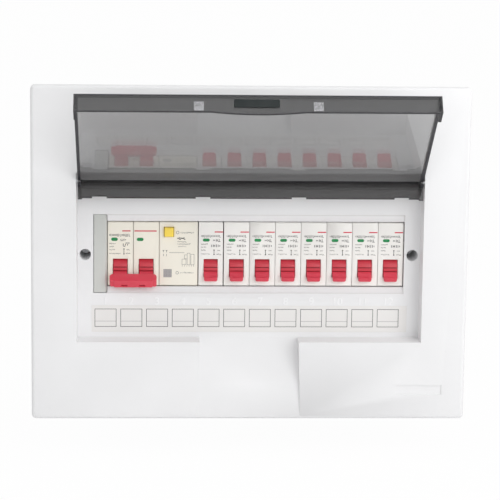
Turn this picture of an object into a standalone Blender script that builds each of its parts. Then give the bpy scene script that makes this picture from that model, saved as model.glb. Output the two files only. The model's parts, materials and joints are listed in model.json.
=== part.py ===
"""Flush-mounted breaker panel box: wall box, front cover with a smoked flap, rail and modular breakers.

Every size in this file is in millimetres; MM turns them into Blender's metres.
X runs to the right, Z up, and the front of the box looks along -Y. The origin is the middle of the
wall box's rear face. Heights are counted from the middle of the front cover.
"""
import math

import bmesh
import bpy

MM = 0.001

# ---- Fits ------------------------------------------------------------------------------------
GAP = 0.3            # between pieces that touch
SINK = 0.8           # how far shapes reach into each other before they are united
PAST = 1.0           # how far a cutter runs past the surface it leaves

# ---- Modular devices on the rail -------------------------------------------------------------
WAYS = 12            # modules that the rail holds
PITCH = 18.0         # width of one module
HALF_HEIGHT = 41.0   # half of a device's full height
NOSE_HALF = 22.5     # half of the raised front of a device
BODY_DEPTH = 61.5    # from the rail's lips to the face of a device
SHOULDER = 17.5      # from the face back to the terminal shoulder
TAIL = 4.5           # from the rail's lips back to the rear of a device
NOSE_CHAMFER = 0.6
SHOULDER_CHAMFER = 1.5
HOOK_CLEAR = 0.7     # between the notch's floor and the hat
MODULE_Z = -2.7      # middle of the row
BREAKERS = 8
MAIN_POLES = 2
RCD_WIDTH = 1.5 * PITCH
TERMINAL_HALF = 3.6  # half width of a wire entry
TERMINAL_NEAR = 24.0  # wire entry, from the rail's lips
TERMINAL_FAR = 33.0
TERMINAL_LENGTH = 13.0
DRIVER_RADIUS = 3.2  # hole above a terminal screw
DRIVER_DEEP = 5.0
DRIVER_IN = 7.5      # its middle, from the device's upper or lower end

# ---- Toggles ---------------------------------------------------------------------------------
TOGGLE_HALF = 4.9    # half width of a toggle's drum
TOGGLE_DROP = 10.1   # axis below the middle of the device
TOGGLE_INSET = 6.0   # axis behind the face
DRUM_RADIUS = 7.0
JOURNAL_RADIUS = 1.5
JOURNAL_LENGTH = 1.6
PADDLE_REACH = 12.9  # from the axis to the tip of the paddle
PADDLE_HALF = 1.6    # half thickness
PADDLE_CORNER = 1.4
PADDLE_NARROW = 0.2  # narrower than the drum, each side
PADDLE_ROOT = 2.0    # how far it reaches into the drum
SLOT_HALF = 6.5      # half height of the slot in the face
TOGGLE_ANGLE = 35.0  # off is this far below level, on is as far above it
TIE_NEAR = 10.5      # tie bar, from the axis
TIE_FAR = 17.3
TIE_HALF = 3.2       # half thickness
TIE_OVER = 2.4       # past the outer paddles' sides
TIE_SLOT_WIDTH = 4.2
TIE_SLOT_DEPTH = 3.0
TIE_SLOT_HIGH = 1.4
TIE_SLOT_UP = 0.8    # above the bar's lower face
TIE_SLOT_SHARE = 0.68    # its middle, as a share of the way to a pole's middle
TIE_ROUND = 1.6

# ---- Rail clips and test button --------------------------------------------------------------
CLIP_HALF = 3.9
CLIP_TIP = 14.3      # hook, below the middle of the device
CLIP_TAB = 3.6       # part that stands out below the device
CLIP_FOOT = 3.3      # how far the tab reaches forward
CLIP_CHAMFER = 0.8
BUTTON_HALF = 3.2
BUTTON_PROUD = 2.5
BUTTON_STEM = 7.0
BUTTON_TRAVEL = 2.0
BUTTON_LEFT = 6.8    # from the left side of its housing
BUTTON_UP = 15.6     # above the middle of the device

# ---- Rail ------------------------------------------------------------------------------------
RAIL_HALF = 17.5
RAIL_HAT = 13.5      # half height of the hat behind the lips
RAIL_DEPTH = 7.5
RAIL_SHEET = 1.0
RAIL_SCREW_X = 90.0
RAIL_SCREW_RADIUS = 2.4
RAIL_SCREW_HEAD = 4.4
RAIL_SLOT_LONG = 12.0
STANDOFF = 6.0       # rail above the floor of the wall box

# ---- Front cover -----------------------------------------------------------------------------
PLATE = 2.4          # wall of the front cover
FASCIA_SIDE = 31.15  # border beside the recess
FASCIA_HEIGHT = 233.0
FASCIA_CORNER = 3.0
FASCIA_ROUND = 2.2
RIM_DEPTH = 6.0
RECESS_SIDE = 11.35  # from the window to the recess wall
RECESS_TOP = 56.8
RECESS_BOTTOM = -61.8
RECESS_DEPTH = 16.0
DRAFT = math.radians(2.0)
FACE_SETBACK = 2.2   # faces of the devices behind the recess floor
WINDOW_CLEAR = 0.6   # between the window and the devices
BEVEL_RUN_TOP = 5.0  # slanted edges of the window
BEVEL_RUN_BOTTOM = 4.4
COLLAR = 3.0         # thicker frame behind the window
COLLAR_DEPTH = 2.2
WELL_INSET = 5.7     # well's middle, from the recess wall
WELL_RADIUS = 4.0
WELL_WALL = 1.3
WELL_Z = -3.0
WELL_DEPTH = 31.0    # from the recess floor
WELL_FLOOR = 2.5
SCREW_RADIUS = 1.9
SCREW_HEAD = 3.4
SCREW_LENGTH = 18.0
HEAD_HIGH = 2.4      # screw heads everywhere
HEAD_SLOT = 0.9      # width of their driver slots
HEAD_SLOT_SHARE = 0.65   # length of a slot, as a share of the head
HEAD_SLOT_DEEP = 1.1
PILOT_SPARE = 2.0    # pilot hole past the screw's tip
SCOOP_HALF = 34.5    # thumb scoop below the flap
SCOOP_FLARE = 1.5
SCOOP_CLEAR = 6.3    # end of its slanted floor, above the wall box's lower wall
SCOOP_END = 2.6      # depth where the slope turns into the shallow panel
LABEL_OVER = 2.25    # label strip past the row of modules, each side
LABEL_SHIFT = 0.7    # and its middle, right of the middle of the row
LABEL_HEIGHT = 18.3
LABEL_THICK = 0.5
LABEL_DROP = 9.05    # its upper edge, below the window
BADGE_WIDTH = 32.0   # shallow blank field at the bottom right
BADGE_HEIGHT = 6.7
BADGE_DEEP = 0.8
BADGE_RIGHT = 16.0   # from the fascia's right edge
BADGE_UP = 17.5      # from its bottom edge
STRIP_THICK = 2.0    # blanking strip at the left of the window
STRIP_SETBACK = 0.6
STRIP_FLANGE = 2.8
FILLER_CLEAR = 0.5

# ---- Flap ------------------------------------------------------------------------------------
FLAP_SHEET = 2.0
FLAP_SIDE_GAP = 1.05
FLAP_TOP_GAP = 1.2
FLAP_BOTTOM_GAP = 1.0
AXIS_BACK = 3.0      # hinge axis behind the flap's outer face
AXIS_DOWN = 5.2      # and below its upper edge
FLAP_ROUND = 1.4
FLANGE_CLEAR = 2.5   # hinge flange, from the recess floor
LIP_CLEAR = 3.0      # lip along the free edge, from the recess floor
LIP_BULGE = 1.7      # the lip's edge bows out in the middle
LIP_BULGE_HALF = 30.0
LIP_BULGE_STEPS = 12
SIDE_LONG = 12.0     # deep part of the side flanges, beside the lip
SIDE_DEPTH = 4.5     # shallow part
LUG_RADIUS = 4.0
NUB_WIDTH = 3.0
NUB_LENGTH = 1.5
NUB_CHAMFER = 1.1
NOTCH_WIDTH = 10.0
NOTCH_DEPTH = 1.3
NOTCH_INNER = 33.0
NOTCH_FROM_END = 14.8
CATCH_X = 38.5
CATCH_WIDTH = 6.0
CATCH_HEIGHT = 0.35
CATCH_FROM = 6.0     # its start, from the flap's outer face
CATCH_RUN = 1.75     # length of each ramp
CATCH_CREST = 1.5
PIN_RADIUS = 1.5
PIN_BLIND = 0.4      # left of the side flange inside the pin's hole
OPEN_ANGLE = 127.1   # from closed
NAMEPLATE_WIDTH = 29.5
NAMEPLATE_HEIGHT = 5.8
NAMEPLATE_SHIFT = -1.2   # its middle, right of the flap's middle
NAMEPLATE_LOW = 0.8      # and past the lip's middle, towards the free edge
NAMEPLATE_THICK = 0.6
NAMEPLATE_ROUND = 0.8

# ---- Wall box --------------------------------------------------------------------------------
BOX_WALL = 2.2
BOX_MARGIN_SIDE = 17.0   # fascia past the box, each side
BOX_MARGIN_END = 16.5
BOX_CORNER = 6.0
KNOCKOUT_RADIUS = 10.5
KNOCKOUT_GROOVE = 1.2
KNOCKOUT_DEEP = 1.0
KNOCKOUT_X = 70.0
FIXING_X = 60.0
FIXING_Z = 62.0
FIXING_RADIUS = 2.7
FIXING_LONG = 9.0
PILOT_RADIUS = 2.2
POST_RADIUS = 5.3
SUPPORT_X = 14.0
SUPPORT_Z = 25.0

# ---- Terminal bars and comb ------------------------------------------------------------------
BAR_LENGTH = 112.0
BAR_SIDE = 8.0
BAR_HOLES = 8
BAR_HOLE_STEP = 12.0
BAR_HOLE_RADIUS = 2.4
BAR_SCREW_RADIUS = 1.9
BAR_SCREW_PROUD = 1.4
BAR_FROM_END = 24.0      # bar's middle, from the inner end wall
BAR_HEIGHT = 16.0        # bar's rear face above the floor of the box
HOLDER_BASE = 3.0
HOLDER_POST = 9.0
HOLDER_OVER = 10.0
COMB_SHEET = 1.5
COMB_HEIGHT = 9.0
COMB_TOOTH_HALF = 1.9
COMB_INSERT = 9.0
COMB_ABOVE = 3.0
COMB_COVER = 1.6
COMB_SHORT = 2.0     # shorter than the breakers, each end
COMB_COVER_SHORT = 1.0
COMB_COVER_UP = 1.0  # lower edge of its cover, above its own

# ---- Worked out from the sizes above ---------------------------------------------------------
WINDOW_HALF = WAYS * PITCH / 2 + FILLER_CLEAR
RECESS_HALF = WINDOW_HALF + RECESS_SIDE
FASCIA_HALF = RECESS_HALF + FASCIA_SIDE
FASCIA_END = FASCIA_HEIGHT / 2
LIPS = -(BOX_WALL + STANDOFF + RAIL_DEPTH)
FACE = LIPS - BODY_DEPTH
FLOOR = FACE - FACE_SETBACK
FRONT = FLOOR - RECESS_DEPTH
WINDOW_TOP = MODULE_Z + NOSE_HALF + WINDOW_CLEAR
WINDOW_BOTTOM = MODULE_Z - NOSE_HALF - WINDOW_CLEAR
BEVEL_TOP = WINDOW_TOP + BEVEL_RUN_TOP
BEVEL_BOTTOM = WINDOW_BOTTOM - BEVEL_RUN_BOTTOM
WELL_X = RECESS_HALF - WELL_INSET
WELL_END = FLOOR + WELL_DEPTH
ROW_RIGHT = WAYS * PITCH / 2 + FILLER_CLEAR - GAP
RCD_RIGHT = ROW_RIGHT - BREAKERS * PITCH
MAIN_RIGHT = RCD_RIGHT - RCD_WIDTH
ROW_LEFT = MAIN_RIGHT - MAIN_POLES * PITCH
LABEL_HALF = WAYS * PITCH / 2 + LABEL_OVER
LABEL_Z = BEVEL_BOTTOM - LABEL_DROP - LABEL_HEIGHT / 2
FLAP_LENGTH = RECESS_TOP - RECESS_BOTTOM - FLAP_TOP_GAP - FLAP_BOTTOM_GAP
FLANGE_DEPTH = RECESS_DEPTH - FLANGE_CLEAR
LIP_DEPTH = RECESS_DEPTH - LIP_CLEAR
AXIS_Y = FRONT + AXIS_BACK
AXIS_Z = RECESS_TOP - FLAP_TOP_GAP - AXIS_DOWN
FLAP_HALF = RECESS_HALF - FLAP_SIDE_GAP
TOGGLE_Z = MODULE_Z - TOGGLE_DROP
TOGGLE_Y = FACE + TOGGLE_INSET
BOX_HALF_X = FASCIA_HALF - BOX_MARGIN_SIDE
BOX_HALF_Z = FASCIA_END - BOX_MARGIN_END
BOX_FRONT = FRONT + SCOOP_END + PLATE + GAP
BAR_Z = BOX_HALF_Z - BOX_WALL - BAR_FROM_END
BAR_REAR = -BOX_WALL - BAR_HEIGHT

COLOURS = {
    "wall_box": ((0.42, 0.43, 0.44), 0.55, 0.0),
    "cover": ((0.80, 0.80, 0.80), 0.42, 0.0),
    "smoke": ((0.05, 0.05, 0.055), 0.10, 0.0),
    "steel": ((0.55, 0.56, 0.58), 0.35, 0.9),
    "brass": ((0.62, 0.45, 0.18), 0.35, 0.9),
    "copper": ((0.70, 0.32, 0.18), 0.35, 0.9),
    "device_cream": ((0.78, 0.70, 0.60), 0.45, 0.0),
    "device_white": ((0.82, 0.80, 0.77), 0.45, 0.0),
    "toggle_red": ((0.62, 0.03, 0.06), 0.38, 0.0),
    "clip_black": ((0.03, 0.03, 0.03), 0.5, 0.0),
    "button_yellow": ((0.90, 0.50, 0.03), 0.4, 0.0),
    "blank_grey": ((0.52, 0.53, 0.50), 0.5, 0.0),
    "label_paper": ((0.74, 0.73, 0.73), 0.6, 0.0),
    "plate_green": ((0.03, 0.06, 0.06), 0.4, 0.0),
    "holder_blue": ((0.05, 0.16, 0.45), 0.5, 0.0),
    "holder_green": ((0.06, 0.30, 0.10), 0.5, 0.0),
}


# ---- Small tools -----------------------------------------------------------------------------
def clear_scene():
    for obj in list(bpy.data.objects):
        bpy.data.objects.remove(obj, do_unlink=True)


def paint(obj, key):
    """Give the object its own material in one of the named colours."""
    colour, roughness, metallic = COLOURS[key]
    material = bpy.data.materials.new(obj.name)
    material.use_nodes = True
    shader = material.node_tree.nodes["Principled BSDF"]
    shader.inputs["Base Color"].default_value = (*colour, 1.0)
    shader.inputs["Roughness"].default_value = roughness
    shader.inputs["Metallic"].default_value = metallic
    obj.data.materials.clear()
    obj.data.materials.append(material)


def to_object(bm, name="shape"):
    """Turn a bmesh in millimetres into an object in metres."""
    bmesh.ops.recalc_face_normals(bm, faces=bm.faces)
    bmesh.ops.scale(bm, vec=(MM, MM, MM), verts=bm.verts)
    mesh = bpy.data.meshes.new(name)
    bm.to_mesh(mesh)
    bm.free()
    obj = bpy.data.objects.new(name, mesh)
    bpy.context.scene.collection.objects.link(obj)
    return obj


def block_mesh(x, y, z):
    """A bmesh box between three pairs of limits."""
    bm = bmesh.new()
    bmesh.ops.create_cube(bm, size=1.0)
    spans = [high - low for low, high in (x, y, z)]
    middles = [(high + low) / 2 for low, high in (x, y, z)]
    bmesh.ops.scale(bm, vec=spans, verts=bm.verts)
    bmesh.ops.translate(bm, vec=middles, verts=bm.verts)
    return bm


def block(x, y, z, name="shape"):
    return to_object(block_mesh(x, y, z), name)


def along(edge, axis):
    """Whether an edge runs along axis 0, 1 or 2."""
    line = (edge.verts[1].co - edge.verts[0].co).normalized()
    return abs(line[axis]) > 0.999


def round_edges(bm, chosen, radius, segments):
    bmesh.ops.bevel(bm, geom=chosen, offset=radius, segments=segments, profile=0.5, affect="EDGES")


def rounded_block(x, y, z, axis, radius, segments=4, name="shape"):
    """A box with its four edges along one axis rounded."""
    bm = block_mesh(x, y, z)
    round_edges(bm, [edge for edge in bm.edges if along(edge, axis)], radius, segments)
    return to_object(bm, name)


def prism(outline, low, high, axis="X", name="shape"):
    """Extrude an outline along an axis; its points are the other two coordinates in order."""
    place = {
        "X": lambda a, b, run: (run, a, b),
        "Y": lambda a, b, run: (a, run, b),
        "Z": lambda a, b, run: (a, b, run),
    }[axis]
    bm = bmesh.new()
    near = [bm.verts.new(place(a, b, low)) for a, b in outline]
    far = [bm.verts.new(place(a, b, high)) for a, b in outline]
    bm.faces.new(near)
    bm.faces.new(list(reversed(far)))
    count = len(outline)
    for index in range(count):
        after = (index + 1) % count
        bm.faces.new((near[index], near[after], far[after], far[index]))
    return to_object(bm, name)


def rod(radius, centre, low, high, axis="X", sides=24, name="shape"):
    """A cylinder along an axis, between two places on it."""
    step = 2 * math.pi / sides
    outline = []
    for index in range(sides):
        angle = (index + 0.5) * step
        outline.append((centre[0] + radius * math.cos(angle), centre[1] + radius * math.sin(angle)))
    return prism(outline, low, high, axis, name)


def slot(radius, length, centre, low, high, axis="Y", sides=10):
    """A rounded slot: its long way is the first of the two coordinates."""
    outline = []
    half = length / 2 - radius
    for index in range(sides + 1):
        angle = -math.pi / 2 + math.pi * index / sides
        outline.append((centre[0] + half + radius * math.cos(angle), centre[1] + radius * math.sin(angle)))
    for index in range(sides + 1):
        angle = math.pi / 2 + math.pi * index / sides
        outline.append((centre[0] - half + radius * math.cos(angle), centre[1] + radius * math.sin(angle)))
    return prism(outline, low, high, axis)


def frustum(front, rear, y_front, y_rear):
    """A box whose two ends differ: each end is (left, right, bottom, top)."""
    bm = bmesh.new()
    rings = []
    for (left, right, bottom, top), y in ((front, y_front), (rear, y_rear)):
        corners = ((left, bottom), (right, bottom), (right, top), (left, top))
        rings.append([bm.verts.new((x, y, z)) for x, z in corners])
    bm.faces.new(rings[0])
    bm.faces.new(list(reversed(rings[1])))
    for index in range(4):
        after = (index + 1) % 4
        bm.faces.new((rings[0][index], rings[0][after], rings[1][after], rings[1][index]))
    return to_object(bm)


def combine(target, tools, operation):
    """Unite the tools with the target, or cut them from it, and drop them."""
    for tool in tools:
        modifier = target.modifiers.new(operation, "BOOLEAN")
        modifier.operation = operation
        modifier.solver = "EXACT"
        modifier.object = tool
    bpy.context.view_layer.update()
    evaluated = target.evaluated_get(bpy.context.evaluated_depsgraph_get())
    mesh = bpy.data.meshes.new_from_object(evaluated)
    target.modifiers.clear()
    target.data = mesh
    for tool in tools:
        bpy.data.objects.remove(tool, do_unlink=True)
    return target


def unite(target, *tools):
    return combine(target, tools, "UNION")


def cut(target, *tools):
    return combine(target, tools, "DIFFERENCE")


def mirrored(make, *sides):
    """Call make(-1) and make(+1) and return both results."""
    return [make(side) for side in (sides or (-1, 1))]


def round_look(obj, angle=35.0):
    obj.data.shade_smooth()
    obj.data.set_sharp_from_angle(angle=math.radians(angle))


def at(obj, x=0.0, y=0.0, z=0.0, tilt=0.0):
    """Place an object, tilted by an angle in degrees about X."""
    obj.location = (x * MM, y * MM, z * MM)
    obj.rotation_euler = (math.radians(tilt), 0.0, 0.0)
    return obj


def named_copy(source, name, colour):
    """Another object on the same mesh shape, with its own material."""
    obj = bpy.data.objects.new(name, source.data.copy())
    bpy.context.scene.collection.objects.link(obj)
    paint(obj, colour)
    return obj


# ---- Wall box --------------------------------------------------------------------------------
def knockout(x, wall_z):
    """A ring groove on the outside of the upper or lower wall."""
    out = 1 if wall_z > 0 else -1
    low, high = sorted((wall_z - out * KNOCKOUT_DEEP, wall_z + out * SINK))
    centre = (x, BOX_FRONT / 2)
    ring = rod(KNOCKOUT_RADIUS, centre, low, high, "Z", 20)
    return cut(ring, rod(KNOCKOUT_RADIUS - KNOCKOUT_GROOVE, centre, low - PAST, high + PAST, "Z", 20))


def make_wall_box():
    box = rounded_block((-BOX_HALF_X, BOX_HALF_X), (BOX_FRONT, 0), (-BOX_HALF_Z, BOX_HALF_Z),
                        1, BOX_CORNER, name="back_box")
    inner_x = BOX_HALF_X - BOX_WALL
    inner_z = BOX_HALF_Z - BOX_WALL
    cut(box, rounded_block((-inner_x, inner_x), (BOX_FRONT - PAST, -BOX_WALL), (-inner_z, inner_z),
                           1, BOX_CORNER - BOX_WALL))
    posts = mirrored(lambda side: rod(POST_RADIUS, (side * WELL_X, WELL_Z), WELL_END + GAP,
                                      -BOX_WALL + SINK, "Y"))
    supports = mirrored(lambda side: block(
        (side * RAIL_SCREW_X - SUPPORT_X / 2, side * RAIL_SCREW_X + SUPPORT_X / 2),
        (LIPS + RAIL_DEPTH + GAP, -BOX_WALL + SINK),
        (MODULE_Z - SUPPORT_Z / 2, MODULE_Z + SUPPORT_Z / 2)))
    unite(box, *posts, *supports)
    pilots = mirrored(lambda side: rod(PILOT_RADIUS, (side * WELL_X, WELL_Z), WELL_END - PAST,
                                       WELL_END + SCREW_LENGTH + PILOT_SPARE, "Y", 16))
    rail_pilots = mirrored(lambda side: rod(RAIL_SCREW_RADIUS + GAP, (side * RAIL_SCREW_X, MODULE_Z),
                                            LIPS, -BOX_WALL, "Y", 16))
    bar_pilots = [rod(PILOT_RADIUS, (side * holder_screw_x(), end * BAR_Z), -BOX_WALL - PAST, PAST, "Y", 16)
                  for side in (-1, 1) for end in (-1, 1)]
    fixings = [slot(FIXING_RADIUS, FIXING_LONG, (side * FIXING_X, end * FIXING_Z), -BOX_WALL - PAST, PAST)
               for side in (-1, 1) for end in (-1, 1)]
    knockouts = [knockout(x, end * BOX_HALF_Z) for x in (-KNOCKOUT_X, 0, KNOCKOUT_X) for end in (-1, 1)]
    cut(box, *pilots, *rail_pilots, *bar_pilots, *fixings, *knockouts)
    paint(box, "wall_box")


# ---- Front cover -----------------------------------------------------------------------------
def recess_limits(depth, wall=0.0):
    """Left, right, bottom and top of the drafted recess at a depth behind the front."""
    draw = depth * math.tan(DRAFT)
    return (-RECESS_HALF + draw - wall, RECESS_HALF - draw + wall,
            RECESS_BOTTOM + draw - wall, RECESS_TOP - draw + wall)


def scoop(wall):
    """The thumb scoop's space, or with a wall the solid around it."""
    slope_end = BOX_WALL + SCOOP_CLEAR - BOX_HALF_Z
    start = RECESS_BOTTOM + PLATE if wall == 0 else RECESS_BOTTOM
    front = FRONT - (PAST if wall == 0 else 0.0)
    flat = 0.0 if wall == 0 else PLATE
    outline = [
        (front, start),
        (FLOOR + flat, start),
        (FLOOR + flat, RECESS_BOTTOM),
        (FRONT + SCOOP_END + flat, slope_end),
        (FRONT + flat, -FASCIA_END + (FASCIA_ROUND if wall else 0)),
        (front, -FASCIA_END + (FASCIA_ROUND if wall else 0)),
    ]
    half = SCOOP_HALF + wall
    shape = prism(outline, -half, half, "X")
    for vertex in shape.data.vertices:
        below = RECESS_BOTTOM * MM - vertex.co.z
        if below > 0:
            share = below / ((RECESS_BOTTOM + FASCIA_END) * MM)
            vertex.co.x += math.copysign(SCOOP_FLARE * MM * share, vertex.co.x)
    return shape


def window_space():
    """The window's opening: straight at the sides, slanted above and below."""
    rear = FLOOR + PLATE + COLLAR_DEPTH + PAST
    outline = [
        (FLOOR - 0.01, BEVEL_BOTTOM),
        (FACE, WINDOW_BOTTOM),
        (rear, WINDOW_BOTTOM),
        (rear, WINDOW_TOP),
        (FACE, WINDOW_TOP),
        (FLOOR - 0.01, BEVEL_TOP),
    ]
    return prism(outline, -WINDOW_HALF, WINDOW_HALF, "X")


def strip_right():
    return ROW_LEFT - GAP


def well_tube(side):
    return rod(WELL_RADIUS + WELL_WALL, (side * WELL_X, WELL_Z), FLOOR + SINK, WELL_END, "Y")


def well_space(side):
    return rod(WELL_RADIUS, (side * WELL_X, WELL_Z), FLOOR - PAST, WELL_END - WELL_FLOOR, "Y")


def well_hole(side):
    return rod(SCREW_RADIUS + GAP, (side * WELL_X, WELL_Z), WELL_END - WELL_FLOOR - PAST, WELL_END + PAST,
               "Y", 16)


def make_cover():
    bm = block_mesh((-FASCIA_HALF, FASCIA_HALF), (FRONT, FRONT + RIM_DEPTH), (-FASCIA_END, FASCIA_END))
    round_edges(bm, [edge for edge in bm.edges if along(edge, 1)], FASCIA_CORNER, 4)
    front_edges = [edge for edge in bm.edges if all(abs(v.co.y - FRONT) < 0.01 for v in edge.verts)]
    round_edges(bm, front_edges, FASCIA_ROUND, 3)
    cover = to_object(bm, "front_cover")
    inner_x = FASCIA_HALF - PLATE
    inner_z = FASCIA_END - PLATE
    cut(cover, rounded_block((-inner_x, inner_x), (FRONT + PLATE, FRONT + RIM_DEPTH + PAST),
                             (-inner_z, inner_z), 1, FASCIA_CORNER))
    tub = frustum(recess_limits(SINK, PLATE), recess_limits(RECESS_DEPTH + PLATE, PLATE),
                  FRONT + SINK, FLOOR + PLATE)
    collar = block((-WINDOW_HALF, WINDOW_HALF), (FLOOR + SINK, FLOOR + PLATE + COLLAR_DEPTH),
                   (BEVEL_BOTTOM - COLLAR, BEVEL_TOP + COLLAR))
    unite(cover, tub, collar, scoop(PLATE))
    recess = frustum(recess_limits(-PAST), recess_limits(RECESS_DEPTH), FRONT - PAST, FLOOR)
    cut(cover, recess, scoop(0))
    unite(cover, *mirrored(well_tube))
    strip_slot = block((-WINDOW_HALF, strip_right() + GAP), (FLOOR - PAST, FLOOR + PLATE + SINK),
                       (BEVEL_BOTTOM, BEVEL_TOP))
    strip_rebate = block((-WINDOW_HALF - PAST, strip_right() + GAP),
                         (FLOOR + PLATE, FLOOR + PLATE + COLLAR_DEPTH + PAST),
                         (BEVEL_BOTTOM - COLLAR - PAST, BEVEL_TOP + COLLAR + PAST))
    label = block((LABEL_SHIFT - LABEL_HALF - GAP, LABEL_SHIFT + LABEL_HALF + GAP),
                  (FLOOR - PAST, FLOOR + LABEL_THICK + GAP),
                  (LABEL_Z - LABEL_HEIGHT / 2 - GAP, LABEL_Z + LABEL_HEIGHT / 2 + GAP))
    badge = block((FASCIA_HALF - BADGE_RIGHT - BADGE_WIDTH, FASCIA_HALF - BADGE_RIGHT),
                  (FRONT - PAST, FRONT + BADGE_DEEP),
                  (BADGE_UP - FASCIA_END, BADGE_UP - FASCIA_END + BADGE_HEIGHT))
    pin_holes = mirrored(lambda side: rod(PIN_RADIUS + GAP, (AXIS_Y, AXIS_Z), side * (FLAP_HALF - PAST),
                                          side * (RECESS_HALF + PLATE + PAST), "X", 16))
    cut(cover, window_space(), strip_slot, strip_rebate, label, badge, *pin_holes,
        *mirrored(well_space), *mirrored(well_hole))
    paint(cover, "cover")


def make_screw(centre, seat, tip, head, shank, slots, name):
    """A screw along Y whose head rests at seat, with one driver slot or two crossed ones."""
    screw = rod(head, centre, seat - HEAD_HIGH, seat, "Y", 20, name)
    unite(screw, rod(shank, centre, seat - SINK, tip, "Y", 12))
    x, z = centre
    wide = head * HEAD_SLOT_SHARE
    tall = HEAD_SLOT / 2
    for across, up in ((wide, tall), (tall, wide))[:slots]:
        cut(screw, block((x - across, x + across),
                         (seat - HEAD_HIGH - PAST, seat - HEAD_HIGH + HEAD_SLOT_DEEP), (z - up, z + up)))
    round_look(screw)
    paint(screw, "steel")


def make_cover_screw(side, name):
    make_screw((side * WELL_X, WELL_Z), WELL_END - WELL_FLOOR - GAP, WELL_END + SCREW_LENGTH,
               SCREW_HEAD, SCREW_RADIUS, 2, name)


def make_blanking_strip():
    """Fills what is left of the window beside the devices."""
    left = -WINDOW_HALF + GAP
    face = FLOOR + STRIP_SETBACK
    strip = block((left, strip_right()), (face, FLOOR + PLATE + GAP + SINK),
                  (BEVEL_BOTTOM + GAP, BEVEL_TOP - GAP), "blanking_strip")
    unite(strip, block((left, strip_right()), (FLOOR + PLATE + GAP, FLOOR + PLATE + GAP + STRIP_THICK),
                       (BEVEL_BOTTOM - STRIP_FLANGE, BEVEL_TOP + STRIP_FLANGE)))
    paint(strip, "blank_grey")


def make_label_strip():
    label = block((LABEL_SHIFT - LABEL_HALF, LABEL_SHIFT + LABEL_HALF), (FLOOR, FLOOR + LABEL_THICK),
                  (LABEL_Z - LABEL_HEIGHT / 2, LABEL_Z + LABEL_HEIGHT / 2), "label_strip")
    paint(label, "label_paper")


# ---- Flap ------------------------------------------------------------------------------------
def make_flap():
    """Modelled closed around its own hinge axis, then swung open."""
    outer = -AXIS_BACK
    top = AXIS_DOWN
    bottom = AXIS_DOWN - FLAP_LENGTH
    inner = outer + FLAP_SHEET
    bm = block_mesh((-FLAP_HALF, FLAP_HALF), (outer, outer + FLANGE_DEPTH), (bottom, top))
    fold = [edge for edge in bm.edges if along(edge, 0)
            and all(abs(v.co.y - outer) < 0.01 for v in edge.verts)]
    round_edges(bm, fold, FLAP_ROUND, 3)
    flap = to_object(bm, "door")
    inside = FLAP_HALF - FLAP_SHEET
    cut(flap, block((-inside, inside), (inner, outer + FLANGE_DEPTH + PAST),
                    (bottom + FLAP_SHEET, top - FLAP_SHEET)))
    side_cuts = mirrored(lambda side: block(
        sorted((side * (inside - PAST), side * (FLAP_HALF + PAST))),
        (outer + SIDE_DEPTH, outer + FLANGE_DEPTH + PAST),
        (bottom + SIDE_LONG, top - FLAP_SHEET)))
    lip_cut = block((-FLAP_HALF - PAST, FLAP_HALF + PAST), (outer + LIP_DEPTH, outer + FLANGE_DEPTH + PAST),
                    (bottom - PAST, bottom + SIDE_LONG + PAST))
    notches = [block((x - NOTCH_WIDTH / 2, x + NOTCH_WIDTH / 2),
                     (outer + FLANGE_DEPTH - NOTCH_DEPTH, outer + FLANGE_DEPTH + PAST),
                     (top - FLAP_SHEET - PAST, top + PAST))
               for x in (NOTCH_FROM_END - FLAP_HALF, -NOTCH_INNER, NOTCH_INNER, FLAP_HALF - NOTCH_FROM_END)]
    cut(flap, *side_cuts, lip_cut, *notches)
    lugs = mirrored(lambda side: rod(LUG_RADIUS, (0, 0), *sorted((side * inside, side * FLAP_HALF)),
                                     "X", 24))
    for lug in lugs:
        cut(lug, block((-FLAP_HALF - PAST, FLAP_HALF + PAST), (-LUG_RADIUS - PAST, outer + FLAP_SHEET / 2),
                       (-LUG_RADIUS - PAST, LUG_RADIUS + PAST)))
    edge = outer + LIP_DEPTH
    bow = [(LIP_BULGE_HALF, edge - SINK), (-LIP_BULGE_HALF, edge - SINK)]
    for index in range(LIP_BULGE_STEPS + 1):
        share = 2 * index / LIP_BULGE_STEPS - 1
        bow.append((share * LIP_BULGE_HALF, edge + LIP_BULGE * (1 - share * share)))
    bulge = prism(bow, bottom, bottom + FLAP_SHEET, "Z")
    near = outer + CATCH_FROM
    far = near + 2 * CATCH_RUN + CATCH_CREST
    catches = mirrored(lambda side: prism(
        [(near, bottom + SINK), (near, bottom), (near + CATCH_RUN, bottom - CATCH_HEIGHT),
         (far - CATCH_RUN, bottom - CATCH_HEIGHT), (far, bottom), (far, bottom + SINK)],
        side * CATCH_X - CATCH_WIDTH / 2, side * CATCH_X + CATCH_WIDTH / 2, "X"))
    edge = outer + FLANGE_DEPTH
    nubs = mirrored(lambda side: prism(
        [(edge - SINK, top), (edge + NUB_LENGTH - NUB_CHAMFER, top), (edge + NUB_LENGTH, top - NUB_CHAMFER),
         (edge + NUB_LENGTH, top - FLAP_SHEET), (edge - SINK, top - FLAP_SHEET)],
        *sorted((side * (FLAP_HALF - NUB_WIDTH), side * FLAP_HALF)), "X"))
    unite(flap, *lugs, bulge, *catches, *nubs)
    cut(flap, *mirrored(lambda side: rod(PIN_RADIUS + GAP / 2, (0, 0),
                                         *sorted((side * (inside + PIN_BLIND), side * (FLAP_HALF + PAST))),
                                         "X", 16)))
    paint(flap, "smoke")
    return at(flap, 0, AXIS_Y, AXIS_Z, -OPEN_ANGLE)


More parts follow.
